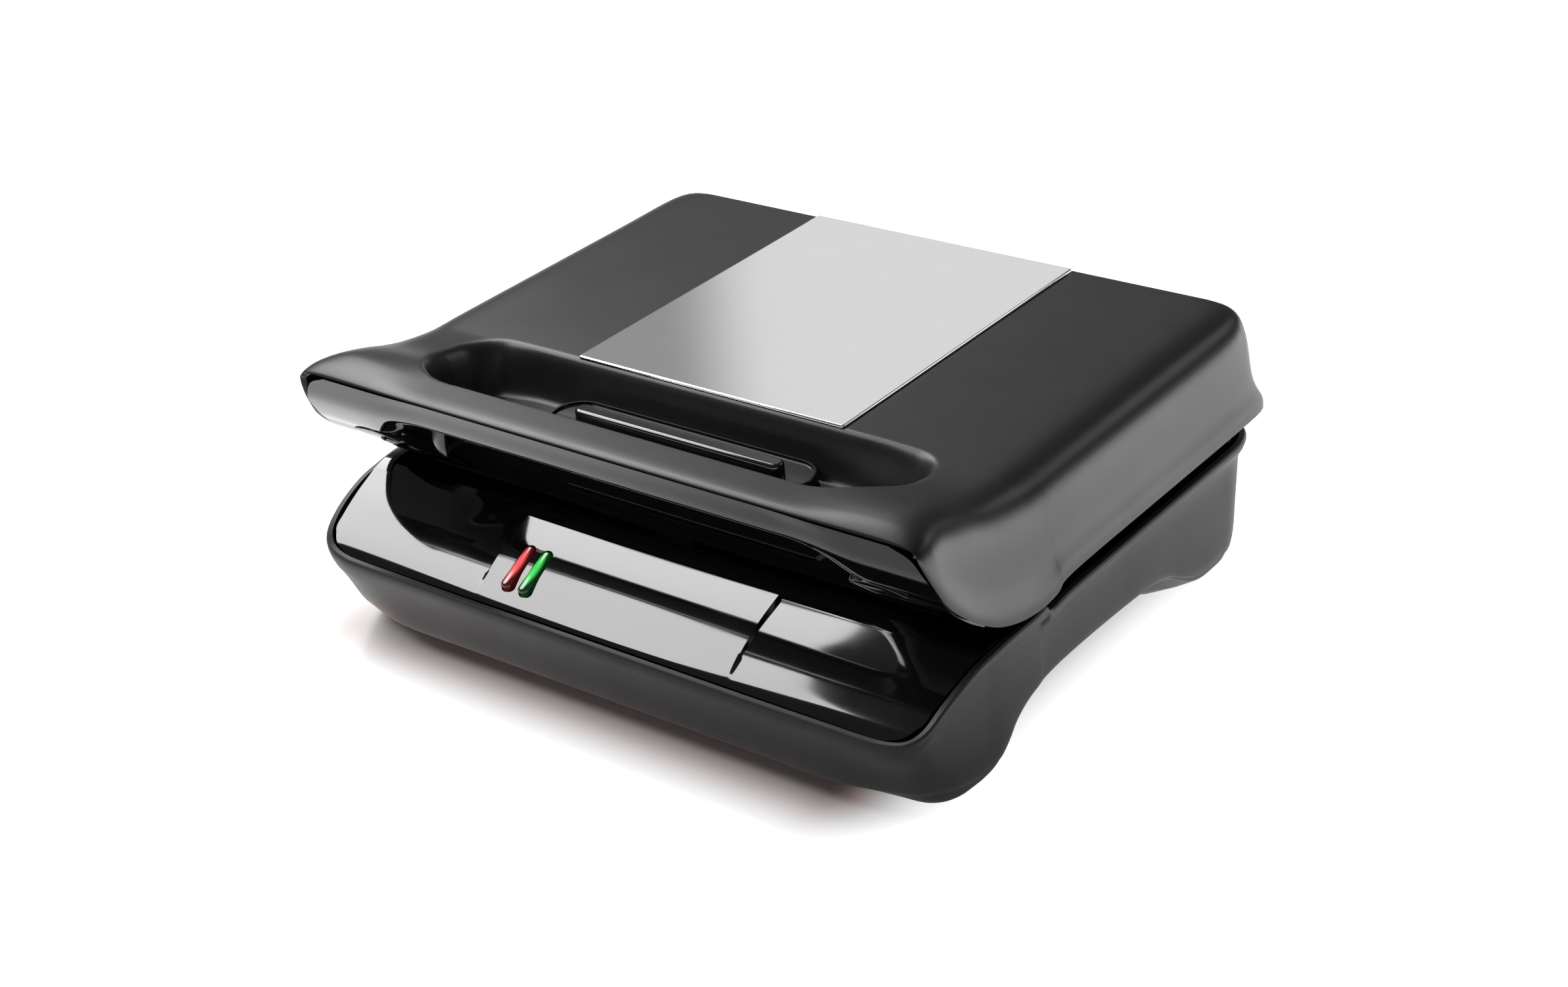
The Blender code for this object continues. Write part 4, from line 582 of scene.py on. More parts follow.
def pill_block(name, half_length, half_width, middle, low_z, high_z, segments=12):
    """A cylinder whose two halves are drawn apart, which gives a bar with half-round ends."""
    made = settle(blank(name, bpy.ops.mesh.primitive_cylinder_add, vertices=4 * segments, radius=half_width,
                        depth=high_z - low_z, location=(*middle, (low_z + high_z) / 2),
                        rotation=(0, 0, math.pi / (2 * segments) / 2)))
    for side in (-1, 1):
        pick(made, "VERT", lambda vertex: vertex.co, lambda x, y, z: (x - middle[0]) * side > 0)
        bpy.ops.transform.translate(value=(side * (half_length - half_width), 0, 0))
        close(made)
    return made


def cut(item, tool):
    modified(item, "BOOLEAN", operation="DIFFERENCE", object=tool, solver="EXACT")
    bpy.data.objects.remove(tool, do_unlink=True)


opening = pill_block("latch_opening", LATCH_HALF_LENGTH + LATCH_GAP, LATCH_HALF_WIDTH + LATCH_GAP,
                     (0.0, LATCH_MIDDLE_Y), RECESS_FLOOR_Z - 3 * SHELL_WALL, RECESS_FLOOR_Z + SHELL_WALL)
cut(lid_cover, opening)

# %% [markdown]
# ### The grip opening
# Behind the lip the recess is open, so that the fingers reach through and pull the lid up. The photograph
# shows this opening only by its bright reflection in the base fascia. Its length and place are read from
# that reflection, which lies a little to the right.

# %% Cut the grip opening behind the lip
GRIP_HALF_LENGTH = 86.5 * MM
GRIP_MIDDLE_X = 6.0 * MM
GRIP_FRONT_Y = -0.930 * LID_REACH
GRIP_BACK_Y = -70.0 * MM
GRIP_CORNER = 12.0 * MM
GRIP_CUT_RISE = 12.2 * MM
GRIP_CUT_DROP = 8.0 * MM


def grip_tool(front_y, low_z, high_z):
    """The opening through which the fingers reach, from a front edge back to the latch."""
    tool = block("grip_opening", (GRIP_MIDDLE_X - GRIP_HALF_LENGTH, front_y, low_z),
                 (GRIP_MIDDLE_X + GRIP_HALF_LENGTH, GRIP_BACK_Y, high_z))
    return round_edges(tool, upright_edges, GRIP_CORNER, 8)


cut(lid_cover, grip_tool(GRIP_FRONT_Y, RECESS_FLOOR_Z - GRIP_CUT_DROP, RECESS_FLOOR_Z + GRIP_CUT_RISE))
lid_cover.name = "lid_cover_moulding"
dress(soften(lid_cover), "lid", satin_black, "shell_black", "lid_cover")

# %% [markdown]
# ## The steel panel
# A folded steel sheet lies in the lid's top. Its rolled edges catch the light as thin bright lines, so
# the blank's upper edges are beveled wide enough to show, and the metal is only slightly rough.

# %% Steel panel
PANEL_CORNER = 1.2 * MM
PANEL_ROLL = 0.65 * MM
PANEL_RING = 0.3 * MM
brushed_steel = finish("brushed_steel", (0.88, 0.88, 0.885), 0.07, metallic=1.0, patches=0.04, tone=0.01)
panel = block("steel_panel_sheet", panel_low, panel_high)
round_edges(panel, upright_edges, PANEL_CORNER, 3)
round_edges(panel, edges_above(panel_high.z), PANEL_ROLL, 4)
flat_ring(panel, PANEL_RING)
dress(soften(panel, 30.0), "lid", brushed_steel, "steel", "steel_panel")

# %% [markdown]
# ## The latch
# The latch is a gloss pill with a raised rim, and a rounded finger bar stands along its middle. The pill is
# a cylinder whose halves are drawn apart. Its top is inset and pushed down, which leaves the rim. A hook
# hangs below it, with a nose at its foot.

# %% Latch
latch_low, latch_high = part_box("latch")
PLATE_BOTTOM_Z = LATCH_TOP_Z - 2.6 * MM
PLATE_TOP_Z = LATCH_TOP_Z + 1.9 * MM
PLATE_EDGE_ROUND = 0.4 * MM
PLATE_RIM_WIDTH = 0.7 * MM
PLATE_RIM_SLOPE = 0.3 * MM
PLATE_RIM_DEPTH = 0.9 * MM
BAR_HALF_LENGTH = 46.0 * MM
BAR_HALF_WIDTH = 3.2 * MM
BAR_MIDDLE_Y = LATCH_MIDDLE_Y - 0.6 * MM
BAR_TOP_Z = latch_high.z + 1.0 * MM
BAR_EDGE_ROUND = 1.2 * MM
BAR_RING = 0.2 * MM
ROOT_Z = LATCH_TOP_Z - 2.0 * MM
HOOK_HALF_WIDTH = 8.0 * MM
HOOK_FRONT_Y = -71.0 * MM
HOOK_WALL = 2.5 * MM
NOSE_HEIGHT = 3.0 * MM
NOSE_ROOT = 0.5 * MM
latch = pill_block("latch_plate", LATCH_HALF_LENGTH, LATCH_HALF_WIDTH, (0.0, LATCH_MIDDLE_Y),
                   PLATE_BOTTOM_Z, PLATE_TOP_Z)
round_edges(latch, edges_above(PLATE_TOP_Z), PLATE_EDGE_ROUND, 3)
pick_faces(latch, level_top)
bpy.ops.mesh.inset(thickness=PLATE_RIM_WIDTH)
bpy.ops.mesh.inset(thickness=PLATE_RIM_SLOPE)
bpy.ops.transform.translate(value=(0, 0, -PLATE_RIM_DEPTH))
bpy.ops.mesh.inset(thickness=PLATE_RIM_SLOPE)
close(latch)
bar = pill_block("latch_bar", BAR_HALF_LENGTH, BAR_HALF_WIDTH, (0.0, BAR_MIDDLE_Y), ROOT_Z, BAR_TOP_Z, 6)
round_edges(bar, edges_above(BAR_TOP_Z), BAR_EDGE_ROUND, 4)
flat_ring(bar, BAR_RING)
hook = block("latch_hook", (-HOOK_HALF_WIDTH, HOOK_FRONT_Y, latch_low.z),
             (HOOK_HALF_WIDTH, HOOK_FRONT_Y + HOOK_WALL, ROOT_Z))
nose = block("latch_nose", (-HOOK_HALF_WIDTH, latch_low.y, latch_low.z),
             (HOOK_HALF_WIDTH, HOOK_FRONT_Y + NOSE_ROOT, latch_low.z + NOSE_HEIGHT))
latch = join(latch, bar, hook, nose)
latch.name = "latch_moulding"
dress(soften(latch), "latch", latch_black, "gloss_black", "latch")

# %% [markdown]
# ## The two fascias
# Under the lip the lid has an undercut gloss front with a grip hollow, and the base answers with a gloss
# slope that carries a raised lamp field. Both act as black mirrors, so their skins must be fair: each is
# drawn through its stations with a curve that passes through every one of them. The curve's knots stand
# apart by the square root of the way between two points, so it doesn't swing out where points lie close.

# %% A curve through all its points
LEAST_KNOT = 1e-5


def through(points, steps):
    """Points on a smooth curve through the given ones, with so many steps in each span."""
    ends = [2 * points[0] - points[1]] + list(points) + [2 * points[-1] - points[-2]]
    found = []
    for index in range(1, len(ends) - 2):
        a, b, c, d = ends[index - 1:index + 3]
        knots = [0.0]
        for first, second in ((a, b), (b, c), (c, d)):
            knots.append(knots[-1] + max(math.sqrt((second - first).length), LEAST_KNOT))
        count = steps[index - 1] if isinstance(steps, (list, tuple)) else steps
        for step in range(count):
            t = mix(knots[1], knots[2], step / count)
            ab = mix(a, b, (t - knots[0]) / (knots[1] - knots[0]))
            bc = mix(b, c, (t - knots[1]) / (knots[2] - knots[1]))
            cd = mix(c, d, (t - knots[2]) / (knots[3] - knots[2]))
            abc = mix(ab, bc, (t - knots[0]) / (knots[2] - knots[0]))
            bcd = mix(bc, cd, (t - knots[1]) / (knots[3] - knots[1]))
            found.append(mix(abc, bcd, (t - knots[1]) / (knots[2] - knots[1])))
    return found + [points[-1]]


def woven(rows, row_steps, column_steps):
    """A finer net of rows through a coarse one, along both directions."""
    wide = [through(row, column_steps) for row in rows]
    columns = [through([row[index] for row in wide], row_steps) for index in range(len(wide[0]))]
    return [list(row) for row in zip(*columns)]


# %% Stations of the lid fascia
FASCIA_HALF_WIDTH = 136.6 * MM
FASCIA_TOP_Z = 103.3 * MM
FASCIA_DROP = FASCIA_TOP_Z - 58.2 * MM
FASCIA_WALL = 2.0 * MM
FASCIA_COLUMN_SHARES = (0.0, 0.20, 0.38, 0.52, 0.60, 0.66, 0.70, 0.74, 0.78, 0.86, 0.93, 0.97, 1.0)
HOLLOW_START_SHARE = 0.58
HOLLOW_END_SHARE = 0.79
GRIP_LEDGE = 4.4 * MM
GRIP_LEDGE_DROP = 3.0 * MM
# For each row: the middle's place and drop, the ends' place and drop, and how far across it reaches
FASCIA_ROW_SHARES = (
    (-0.988, 0.000, -0.993, 0.000, 0.905),
    (-0.982, 0.060, -0.988, 0.075, 0.962),
    (-0.972, 0.180, -0.979, 0.200, 0.990),
    (-0.962, 0.228, -0.966, 0.280, 1.002),
    (-0.930, 0.266, -0.930, 0.434, 1.004),
    (-0.885, 0.306, -0.906, 0.510, 1.004),
    (-0.790, 0.404, -0.882, 0.592, 1.004),
    (-0.707, 0.500, -0.840, 0.686, 1.003),
    (-0.689, 0.690, -0.790, 0.791, 1.002),
    (-0.676, 0.871, -0.708, 0.935, 0.996),
    (-0.665, 1.000, -0.675, 1.000, 0.985),
)
print("stations of the lid fascia:", len(FASCIA_ROW_SHARES))


# %% Skin of the lid fascia
def lid_fascia_rows():
    """Rows that change over from the grip hollow in the middle to the plain ends."""
    rows = []
    for middle_y, middle_drop, end_y, end_drop, across in FASCIA_ROW_SHARES:
        row = []
        for share in FASCIA_COLUMN_SHARES:
            blend = ease((share - HOLLOW_START_SHARE) / (HOLLOW_END_SHARE - HOLLOW_START_SHARE))
            row.append(Vector((share * across * FASCIA_HALF_WIDTH, mix(middle_y, end_y, blend) * LID_REACH,
                               FASCIA_TOP_Z - mix(middle_drop, end_drop, blend) * FASCIA_DROP)))
        rows.append(row)
    return rows


def facing(item, direction):
    """Turns a sheet over when most of its faces look away from a direction."""
    total = sum((face.normal * face.area for face in item.data.polygons), Vector())
    if total.dot(Vector(direction)) < 0:
        open_all(item)
        bpy.ops.mesh.flip_normals()
        close(item)
    return item


lid_fascia = mirrored(stretched_grid("lid_fascia_moulding", woven(lid_fascia_rows(), 5, 4)))
facing(lid_fascia, (0, -1, -1))
walled(lid_fascia, FASCIA_WALL)
cut(lid_fascia, grip_tool(GRIP_FRONT_Y + GRIP_LEDGE, RECESS_FLOOR_Z - GRIP_LEDGE_DROP, LID_TOP_Z))

# %% [markdown]
# ### The plate-release catches
# Each catch is an eye-shaped button in a close hole, tilted with the fascia. It is drawn flat as two arcs
# that meet in points, given its thickness by an extrusion, and its outer rim is rounded.

# %% Sizes of the catches
CATCH_X = 111.0 * MM
CATCH_Y = -101.2 * MM
CATCH_Z = 79.63 * MM
CATCH_TILT = math.radians(36.0)
CATCH_HALF_LENGTH = 11.5 * MM
CATCH_HALF_HEIGHT = 3.6 * MM
CATCH_GAP = 0.5 * MM
CATCH_PROUD = 0.5 * MM
CATCH_ROOT = 3.1 * MM
CATCH_EDGE_ROUND = 0.4 * MM
CATCH_CUT_OUT = 6.0 * MM
CATCH_CUT_IN = 8.0 * MM
print("catches lean back by", round(math.degrees(CATCH_TILT)), "degrees")


# %% An eye-shaped blank
def eye_block(name, side, half_length, half_height, top, bottom, steps=10):
    """An eye outline in the catch's own plane, filled and extruded between two depths."""
    radius = (half_length ** 2 + half_height ** 2) / (2 * half_height)
    spread = math.asin(half_length / radius)
    angles = [mix(-spread, spread, step / steps) for step in range(steps)]
    outline = [(radius * math.sin(angle), radius * math.cos(angle) - radius + half_height)
               for angle in angles]
    outline += [(-x, -y) for x, y in outline]
    made = blank(name, bpy.ops.mesh.primitive_circle_add, vertices=len(outline), radius=1.0,
                 fill_type="NGON")
    for vertex, (x, y) in zip(made.data.vertices, outline):
        vertex.co = (x, y, bottom)
    open_all(made)
    bpy.ops.mesh.extrude_region_move(TRANSFORM_OT_translate={"value": (0, 0, top - bottom)})
    bpy.ops.mesh.select_all(action="SELECT")
    bpy.ops.mesh.normals_make_consistent(inside=False)
    close(made)
    tilt = Matrix.Rotation(math.radians(90) + CATCH_TILT, 4, "X")
    made.matrix_world = Matrix.Translation((side * CATCH_X, CATCH_Y, CATCH_Z)) @ tilt
    return settle(made)


# %% Catches in their holes
for side, label in ((-1, "left"), (1, "right")):
    opening = eye_block("catch_opening", side, CATCH_HALF_LENGTH + CATCH_GAP, CATCH_HALF_HEIGHT + CATCH_GAP,
                        CATCH_CUT_OUT, -CATCH_CUT_IN)
    cut(lid_fascia, opening)
    catch = eye_block("release_catch_button_" + label, side, CATCH_HALF_LENGTH, CATCH_HALF_HEIGHT,
                      CATCH_PROUD, -CATCH_ROOT)
    modified(catch, "BEVEL", width=CATCH_EDGE_ROUND, segments=3, limit_method="ANGLE")
    dress(soften(catch), "catch_" + label, piano_black, "gloss_black", "release_catch_" + label)
dress(soften(lid_fascia, 40.0), "lid", piano_black, "gloss_black", "lid_fascia")

# %% [markdown]
# ### The base fascia
# The base fascia slopes down to the front, with a soft lobe at each side and a shallow dip between. Along
# its middle a field stands a little proud of the slope and carries the lamps. A column of the table says
# how far the field is raised in each row, so it ends in a short steep edge.

# %% Stations of the base fascia
BASE_REACH = 120.0 * MM
BASE_RIM_Z = 50.0 * MM
LOBE_RISE = 2.6 * MM
BASE_FASCIA_HALF_WIDTH = 136.2 * MM
FIELD_HALF_WIDTH = 56.6 * MM
FIELD_EDGE = 0.9 * MM
FIELD_RISE = 1.8 * MM
# For each row: its place, the middle's and the ends' rise, the field's rise, and how far across it reaches
BASE_FASCIA_ROW_SHARES = (
    (-0.516, -0.16, 1.00, 0.00, 1.000),
    (-0.610, 0.86, 1.26, 0.00, 1.000),
    (-0.638, 0.80, 1.20, 0.00, 1.000),
    (-0.667, 0.62, 1.00, 0.00, 0.998),
    (-0.696, 0.27, 0.68, 0.00, 0.996),
    (-0.704, 0.15, 0.55, 1.00, 0.995),
    (-0.796, -1.32, -1.00, 0.85, 0.984),
    (-0.870, -3.05, -2.60, 0.62, 0.975),
    (-0.932, -4.60, -4.20, 0.10, 0.958),
    (-0.962, -5.50, -5.40, 0.00, 0.925),
    (-0.973, -6.00, -6.10, 0.00, 0.880),
)
FIELD_COLUMN_SHARES = (0.0, 0.2, 0.4, 0.6, 0.8, 0.95, 0.99, 1.0)
OUTER_COLUMN_SHARES = (0.0, 0.01, 0.04, 0.12, 0.24, 0.38, 0.52, 0.66, 0.80, 0.90, 0.96, 1.0)
print("stations of the base fascia:", len(BASE_FASCIA_ROW_SHARES))


# %% Skin of the base fascia
def base_fascia_rows():
    """Rows of the slope, with the lamp field raised over them and let down over a short edge."""
    knots = [Vector(shares[:3]) for shares in BASE_FASCIA_ROW_SHARES]
    fields = [Vector((shares[0], shares[3], shares[4])) for shares in BASE_FASCIA_ROW_SHARES]
    rows = []
    for (y_share, middle_rise, end_rise), (_, field, across) in zip(through(knots, 6), through(fields, 6)):
        end_x = across * BASE_FASCIA_HALF_WIDTH
        low_edge = FIELD_HALF_WIDTH + FIELD_EDGE
        rise = min(max(field, 0.0), 1.0) * FIELD_RISE
        spots = [(share * FIELD_HALF_WIDTH, rise) for share in FIELD_COLUMN_SHARES]
        spots += [(mix(low_edge, end_x, share), 0.0) for share in OUTER_COLUMN_SHARES]
        row = []
        for x, lift in spots:
            z = BASE_RIM_Z + mix(middle_rise, end_rise, ease(x / end_x)) * LOBE_RISE + lift
            row.append(Vector((x, y_share * BASE_REACH, z)))
        rows.append(row)
    return rows


base_fascia = mirrored(stretched_grid("base_fascia_moulding", base_fascia_rows()))
facing(base_fascia, (0, 0, 1))
walled(base_fascia, FASCIA_WALL)

# %% [markdown]
# ### Lamps
# Two pill lenses lie down the slope of the field. Behind each glows a small lamp, so the lens is bright
# along its middle and deepens to a dark rim: the lens's deep colour, darkened further as painted shade of
# the gap round it. The glow is part of the lens's own material.

# %% Sizes and colours of the lenses
LENS_MIDDLE_Y = -104.0 * MM
LENS_MIDDLE_Z = 44.2 * MM
LENS_SLOPE = math.radians(25.5)
LENS_HALF_LENGTH = 9.5 * MM
LENS_HALF_WIDTH = 2.35 * MM
LENS_GAP = 0.45 * MM
LENS_PROUD = 1.0 * MM
LENS_ROOT = 4.2 * MM
LENS_EDGE_ROUND = 1.6 * MM
LENS_CUT_REACH = 7.0 * MM
GLOW_CORE_SHARE = 0.42
GLOW_RIM_SHARE = 0.86
# For each lens: its place, its slot, its colour at the rim, darkened as painted shade, and its colour over
# the lamp
LENSES = {
    "red_lens": (-45.5 * MM, "lens_red", (0.035, 0.001, 0.002), (0.95, 0.11, 0.12)),
    "green_lens": (-37.5 * MM, "lens_green", (0.001, 0.018, 0.003), (0.05, 0.72, 0.10)),
}
print("lenses:", sorted(LENSES))


# %% Lay a lens on the slope and light it
def on_slope(item, x):
    """Lays a piece that was made along X at the origin down the field's slope."""
    turn = Matrix.Rotation(LENS_SLOPE, 4, "X") @ Matrix.Rotation(math.radians(90), 4, "Z")
    item.matrix_world = Matrix.Translation((x, LENS_MIDDLE_Y, LENS_MIDDLE_Z)) @ turn
    return settle(item)


def lamp_glow(name, rim_color_with_painted_shade, core_color, x):
    """A gloss colour that glows over the lamp and fades to a dark rim, painted shade of the gap round the
    lens.
    """
    made = finish(name, rim_color_with_painted_shade, 0.20, patches=0.2, Coat_Weight=0.3, Emission_Strength=1.0)
    tree = made.node_tree
    place = add(tree, "TexCoord", "Object")
    centred = add(tree, "Mapping", "Vector", {"vector_type": "POINT"}, Vector=place,
                  Location=(-x, -LENS_MIDDLE_Y, -LENS_MIDDLE_Z))
    plan = vector_maths(tree, "MULTIPLY", centred, (1 / LENS_HALF_WIDTH, 1 / LENS_HALF_LENGTH, 0.0))
    glow = tree.nodes.new("ShaderNodeValToRGB")
    plug(tree, glow.inputs["Fac"], vector_maths(tree, "LENGTH", plan))
    # The rim stop is the lens's deep colour darkened as painted shade of the gap round the lens
    for stop, share, color in zip(glow.color_ramp.elements, (GLOW_CORE_SHARE, GLOW_RIM_SHARE),
                                  (core_color, rim_color_with_painted_shade)):
        stop.position = share
        stop.color = (*color, 1.0)
    plug(tree, tree.nodes["Principled BSDF"].inputs["Emission Color"], glow.outputs["Color"])
    return made


# %% Lenses in their holes
for node, (x, slot, rim_color_with_painted_shade, core_color) in LENSES.items():
    hole = pill_block("lens_hole", LENS_HALF_LENGTH + LENS_GAP, LENS_HALF_WIDTH + LENS_GAP, (0.0, 0.0),
                      -LENS_CUT_REACH, LENS_CUT_REACH, 8)
    cut(base_fascia, on_slope(hole, x))
    lens = pill_block(node + "_moulding", LENS_HALF_LENGTH, LENS_HALF_WIDTH, (0.0, 0.0),
                      -LENS_ROOT, LENS_PROUD, 8)
    round_edges(lens, edges_above(LENS_PROUD), LENS_EDGE_ROUND, 5)
    glow = lamp_glow(node + "_glow", rim_color_with_painted_shade, core_color, x)
    dress(soften(on_slope(lens, x), 50.0), "base", glow, slot, node)
dress(soften(base_fascia, 30.0), "base", piano_black, "gloss_black", "base_fascia")

# %% [markdown]
# ## The base housing
# The housing is one band: from its rim down the walls, round the feet and in under the belly. Its stations
# run round the plan from the front middle to the back middle, and each holds the wall's section there. The
# belly has a window for the bottom cover, and the soles are cut flat just above the rubber pads' soles.

# %% Stations of the base housing
BASE_HALF_WIDTH = 139.6 * MM
BASE_BACK_Y = 106.5 * MM
BELLY_Z = 20.0 * MM
FOOT_SOLE_Z = 1.0 * MM
# For each station: the rim's place and rise, the edge's and the sole's lift, how deep the neck is, the
# sole's place, and how far the sole reaches in
BASE_STATION_SHARES = (
    (0.000, -1.000, -6.15, 0.420, 0.420, 0.40, 0.000, -0.905, 0.25),
    (0.440, -1.000, -6.15, 0.420, 0.420, 0.40, 0.440, -0.905, 0.25),
    (0.720, -0.998, -6.15, 0.420, 0.400, 0.40, 0.706, -0.903, 0.30),
    (0.800, -0.997, -6.15, 0.420, 0.220, 0.40, 0.770, -0.870, 0.70),
    (0.870, -0.993, -6.05, 0.420, 0.050, 0.40, 0.827, -0.837, 1.00),
    (0.930, -0.978, -5.40, 0.420, 0.000, 0.40, 0.881, -0.825, 1.00),
    (0.966, -0.942, -4.20, 0.400, 0.000, 0.50, 0.917, -0.800, 1.00),
    (0.982, -0.867, -2.10, 0.320, 0.000, 0.70, 0.937, -0.754, 1.00),
    (0.992, -0.750, -0.05, 0.220, 0.000, 0.90, 0.943, -0.692, 1.00),
    (0.996, -0.660, 0.60, 0.180, 0.000, 1.00, 0.944, -0.646, 1.00),
    (0.999, -0.600, 0.90, 0.250, 0.080, 1.00, 0.946, -0.596, 1.00),
    (1.000, -0.555, 0.98, 0.450, 0.330, 1.00, 0.946, -0.553, 1.00),
    (1.000, -0.515, 1.00, 0.700, 0.620, 1.00, 0.946, -0.515, 1.00),
    (1.000, -0.460, 1.00, 0.900, 0.860, 1.00, 0.946, -0.458, 1.00),
    (0.998, -0.390, 1.00, 1.020, 0.960, 1.00, 0.946, -0.390, 1.00),
    (0.996, -0.370, 0.00, 1.040, 0.970, 1.00, 0.944, -0.370, 1.00),
    (0.990, -0.260, 0.00, 1.060, 1.000, 1.00, 0.940, -0.260, 1.00),
    (0.987, 0.100, 0.00, 1.000, 0.940, 1.00, 0.937, 0.100, 1.00),
    (0.986, 0.340, 0.00, 0.880, 0.820, 1.00, 0.936, 0.340, 1.00),
    (0.986, 0.430, 0.00, 0.720, 0.650, 1.00, 0.936, 0.432, 1.00),
    (0.986, 0.500, 0.00, 0.500, 0.400, 1.00, 0.936, 0.502, 1.00),
    (0.986, 0.570, 0.00, 0.310, 0.170, 1.00, 0.936, 0.573, 1.00),
    (0.986, 0.650, 0.00, 0.200, 0.030, 1.00, 0.936, 0.648, 1.00),
    (0.985, 0.760, 0.00, 0.180, 0.000, 1.00, 0.936, 0.732, 1.00),
    (0.978, 0.870, 0.00, 0.220, 0.010, 0.90, 0.933, 0.808, 1.00),
    (0.945, 0.960, 0.00, 0.330, 0.040, 0.70, 0.910, 0.859, 1.00),
    (0.880, 1.000, 0.00, 0.450, 0.080, 0.50, 0.856, 0.883, 1.00),
    (0.800, 1.000, 0.00, 0.600, 0.400, 0.40, 0.788, 0.897, 0.80),
    (0.700, 1.000, 0.00, 1.000, 1.000, 0.30, 0.695, 0.930, 0.50),
    (0.000, 1.000, 0.00, 1.000, 1.000, 0.30, 0.000, 0.930, 0.50),
)
RIM_ROUND = 0.8 * MM
RIM_WIDTH = 2.6 * MM
FLANGE_HEIGHT = 4.0 * MM
NECK_DROP = 7.0 * MM
NECK_INSET = 3.2 * MM
FRONT_EDGE_SHARE = 0.47
SIDE_EDGE_SHARE = 0.66
EDGE_ROUND = 1.2 * MM
WALL_BEND_SHARE = 0.35
UNDER_BEND_SHARE = 0.45
UNDER_FALL_SHARE = 0.55
# How wide and how deep the sole's inner edge, the belly's edge and the window's edge lie in the plan
INNER_LOOP_SHARES = ((0.82, 0.72), (0.79, 0.68), (0.70, 0.60))
WINDOW_MIDDLE_Y = -7.0 * MM
WINDOW_CORNER = 14.0 * MM
WINDOW_CUT_DROP = 3.0 * MM
WINDOW_CUT_RISE = 6.0 * MM
COVER_GAP = 0.3 * MM
SOLE_CUT_Z = 0.3 * MM
print("stations round half the base:", len(BASE_STATION_SHARES))


# %% Sections of the base housing
def along_base(share):
    return share * (BASE_REACH if share < 0 else BASE_BACK_Y)


def drawn_in(x, y, across_share, along_share):
    return Vector((x * across_share, WINDOW_MIDDLE_Y + (y - WINDOW_MIDDLE_Y) * along_share))


def rim_direction(places, index):
    """The way that the rim runs at a station, from the one before it to the one after."""
    before = places[index - 1] if index > 0 else (-places[1][0], places[1][1])
    after = places[index + 1] if index + 1 < len(places) else (-places[-2][0], places[-2][1])
    return Vector((after[0] - before[0], after[1] - before[1])).normalized()


def wall_section(x, y, along, shares):
    """The points of one section, from the rim down to the sole and in to the belly's window."""
    rise, edge_lift, sole_lift, neck, sole_across, sole_along, reach = shares
    inwards = Vector((-along.y, along.x))
    rim_z = BASE_RIM_Z + rise * LOBE_RISE
    edge_z = mix(FOOT_SOLE_Z, BELLY_Z, edge_lift)
    sole_z = mix(FOOT_SOLE_Z, BELLY_Z, sole_lift)
    rim = Vector((x, y))
    sole = Vector((sole_across * BASE_HALF_WIDTH, along_base(sole_along)))
    edge = rim.lerp(sole, mix(FRONT_EDGE_SHARE, SIDE_EDGE_SHARE, abs(inwards.x)))
    outwards = (rim - sole).normalized() * EDGE_ROUND / 2
    neck_place = rim + inwards * neck * NECK_INSET
    wall = [(rim + inwards * RIM_WIDTH, rim_z),
            (rim + inwards * RIM_ROUND, rim_z),
            (rim, rim_z - 2 * RIM_ROUND),
            (rim + inwards * neck * RIM_ROUND, rim_z - FLANGE_HEIGHT),
            (neck_place, rim_z - NECK_DROP),
            (neck_place.lerp(edge, WALL_BEND_SHARE), (rim_z + edge_z) / 2),
            (edge + outwards, edge_z + EDGE_ROUND),
            (edge - outwards, edge_z),
            (edge.lerp(sole, UNDER_BEND_SHARE), mix(edge_z, sole_z, UNDER_FALL_SHARE)),
            (sole, sole_z)]
    sole_loop, belly_loop, window_loop = (drawn_in(x, y, *loop_shares) for loop_shares in INNER_LOOP_SHARES)
    inner = sole.lerp(sole_loop, reach)
    wall += [(inner, sole_z), (inner + belly_loop - sole_loop, BELLY_Z), (window_loop, BELLY_Z)]
    return [Vector((place.x if x else 0.0, place.y, z)) for place, z in wall]


def base_sections():
    places = [(shares[0] * BASE_HALF_WIDTH, along_base(shares[1])) for shares in BASE_STATION_SHARES]
    return [wall_section(*places[index], rim_direction(places, index), shares[2:])
            for index, shares in enumerate(BASE_STATION_SHARES)]


# %% Base housing
SECTION_STEPS = (1, 3, 2, 2, 3, 4, 3, 3, 3, 3, 2, 1)
housing = mirrored(stretched_grid("base_housing_moulding", woven(base_sections(), 4, SECTION_STEPS)))
facing(housing, (0, 0, -1))
walled(housing, SHELL_WALL)
open_all(housing)
bpy.ops.mesh.bisect(plane_co=(0.0, 0.0, SOLE_CUT_Z), plane_no=(0.0, 0.0, -1.0), clear_outer=True,
                    use_fill=True)
close(housing)
cover_low, cover_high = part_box("bottom_cover")
window = block("belly_window",
               (cover_low.x - COVER_GAP, cover_low.y - COVER_GAP, BELLY_Z - WINDOW_CUT_DROP),
               (cover_high.x + COVER_GAP, cover_high.y + COVER_GAP, BELLY_Z + WINDOW_CUT_RISE))
cut(housing, round_edges(window, upright_edges, WINDOW_CORNER, 6))
dress(soften(housing), "base", satin_grey, "shell_grey", "base_housing")

# %% [markdown]
# ## Carried-over solids
# The remaining nodes already have their right shape. Each keeps its own mesh and gets the finish of its
# material slot, with the grain of cast, drawn or moulded stock.

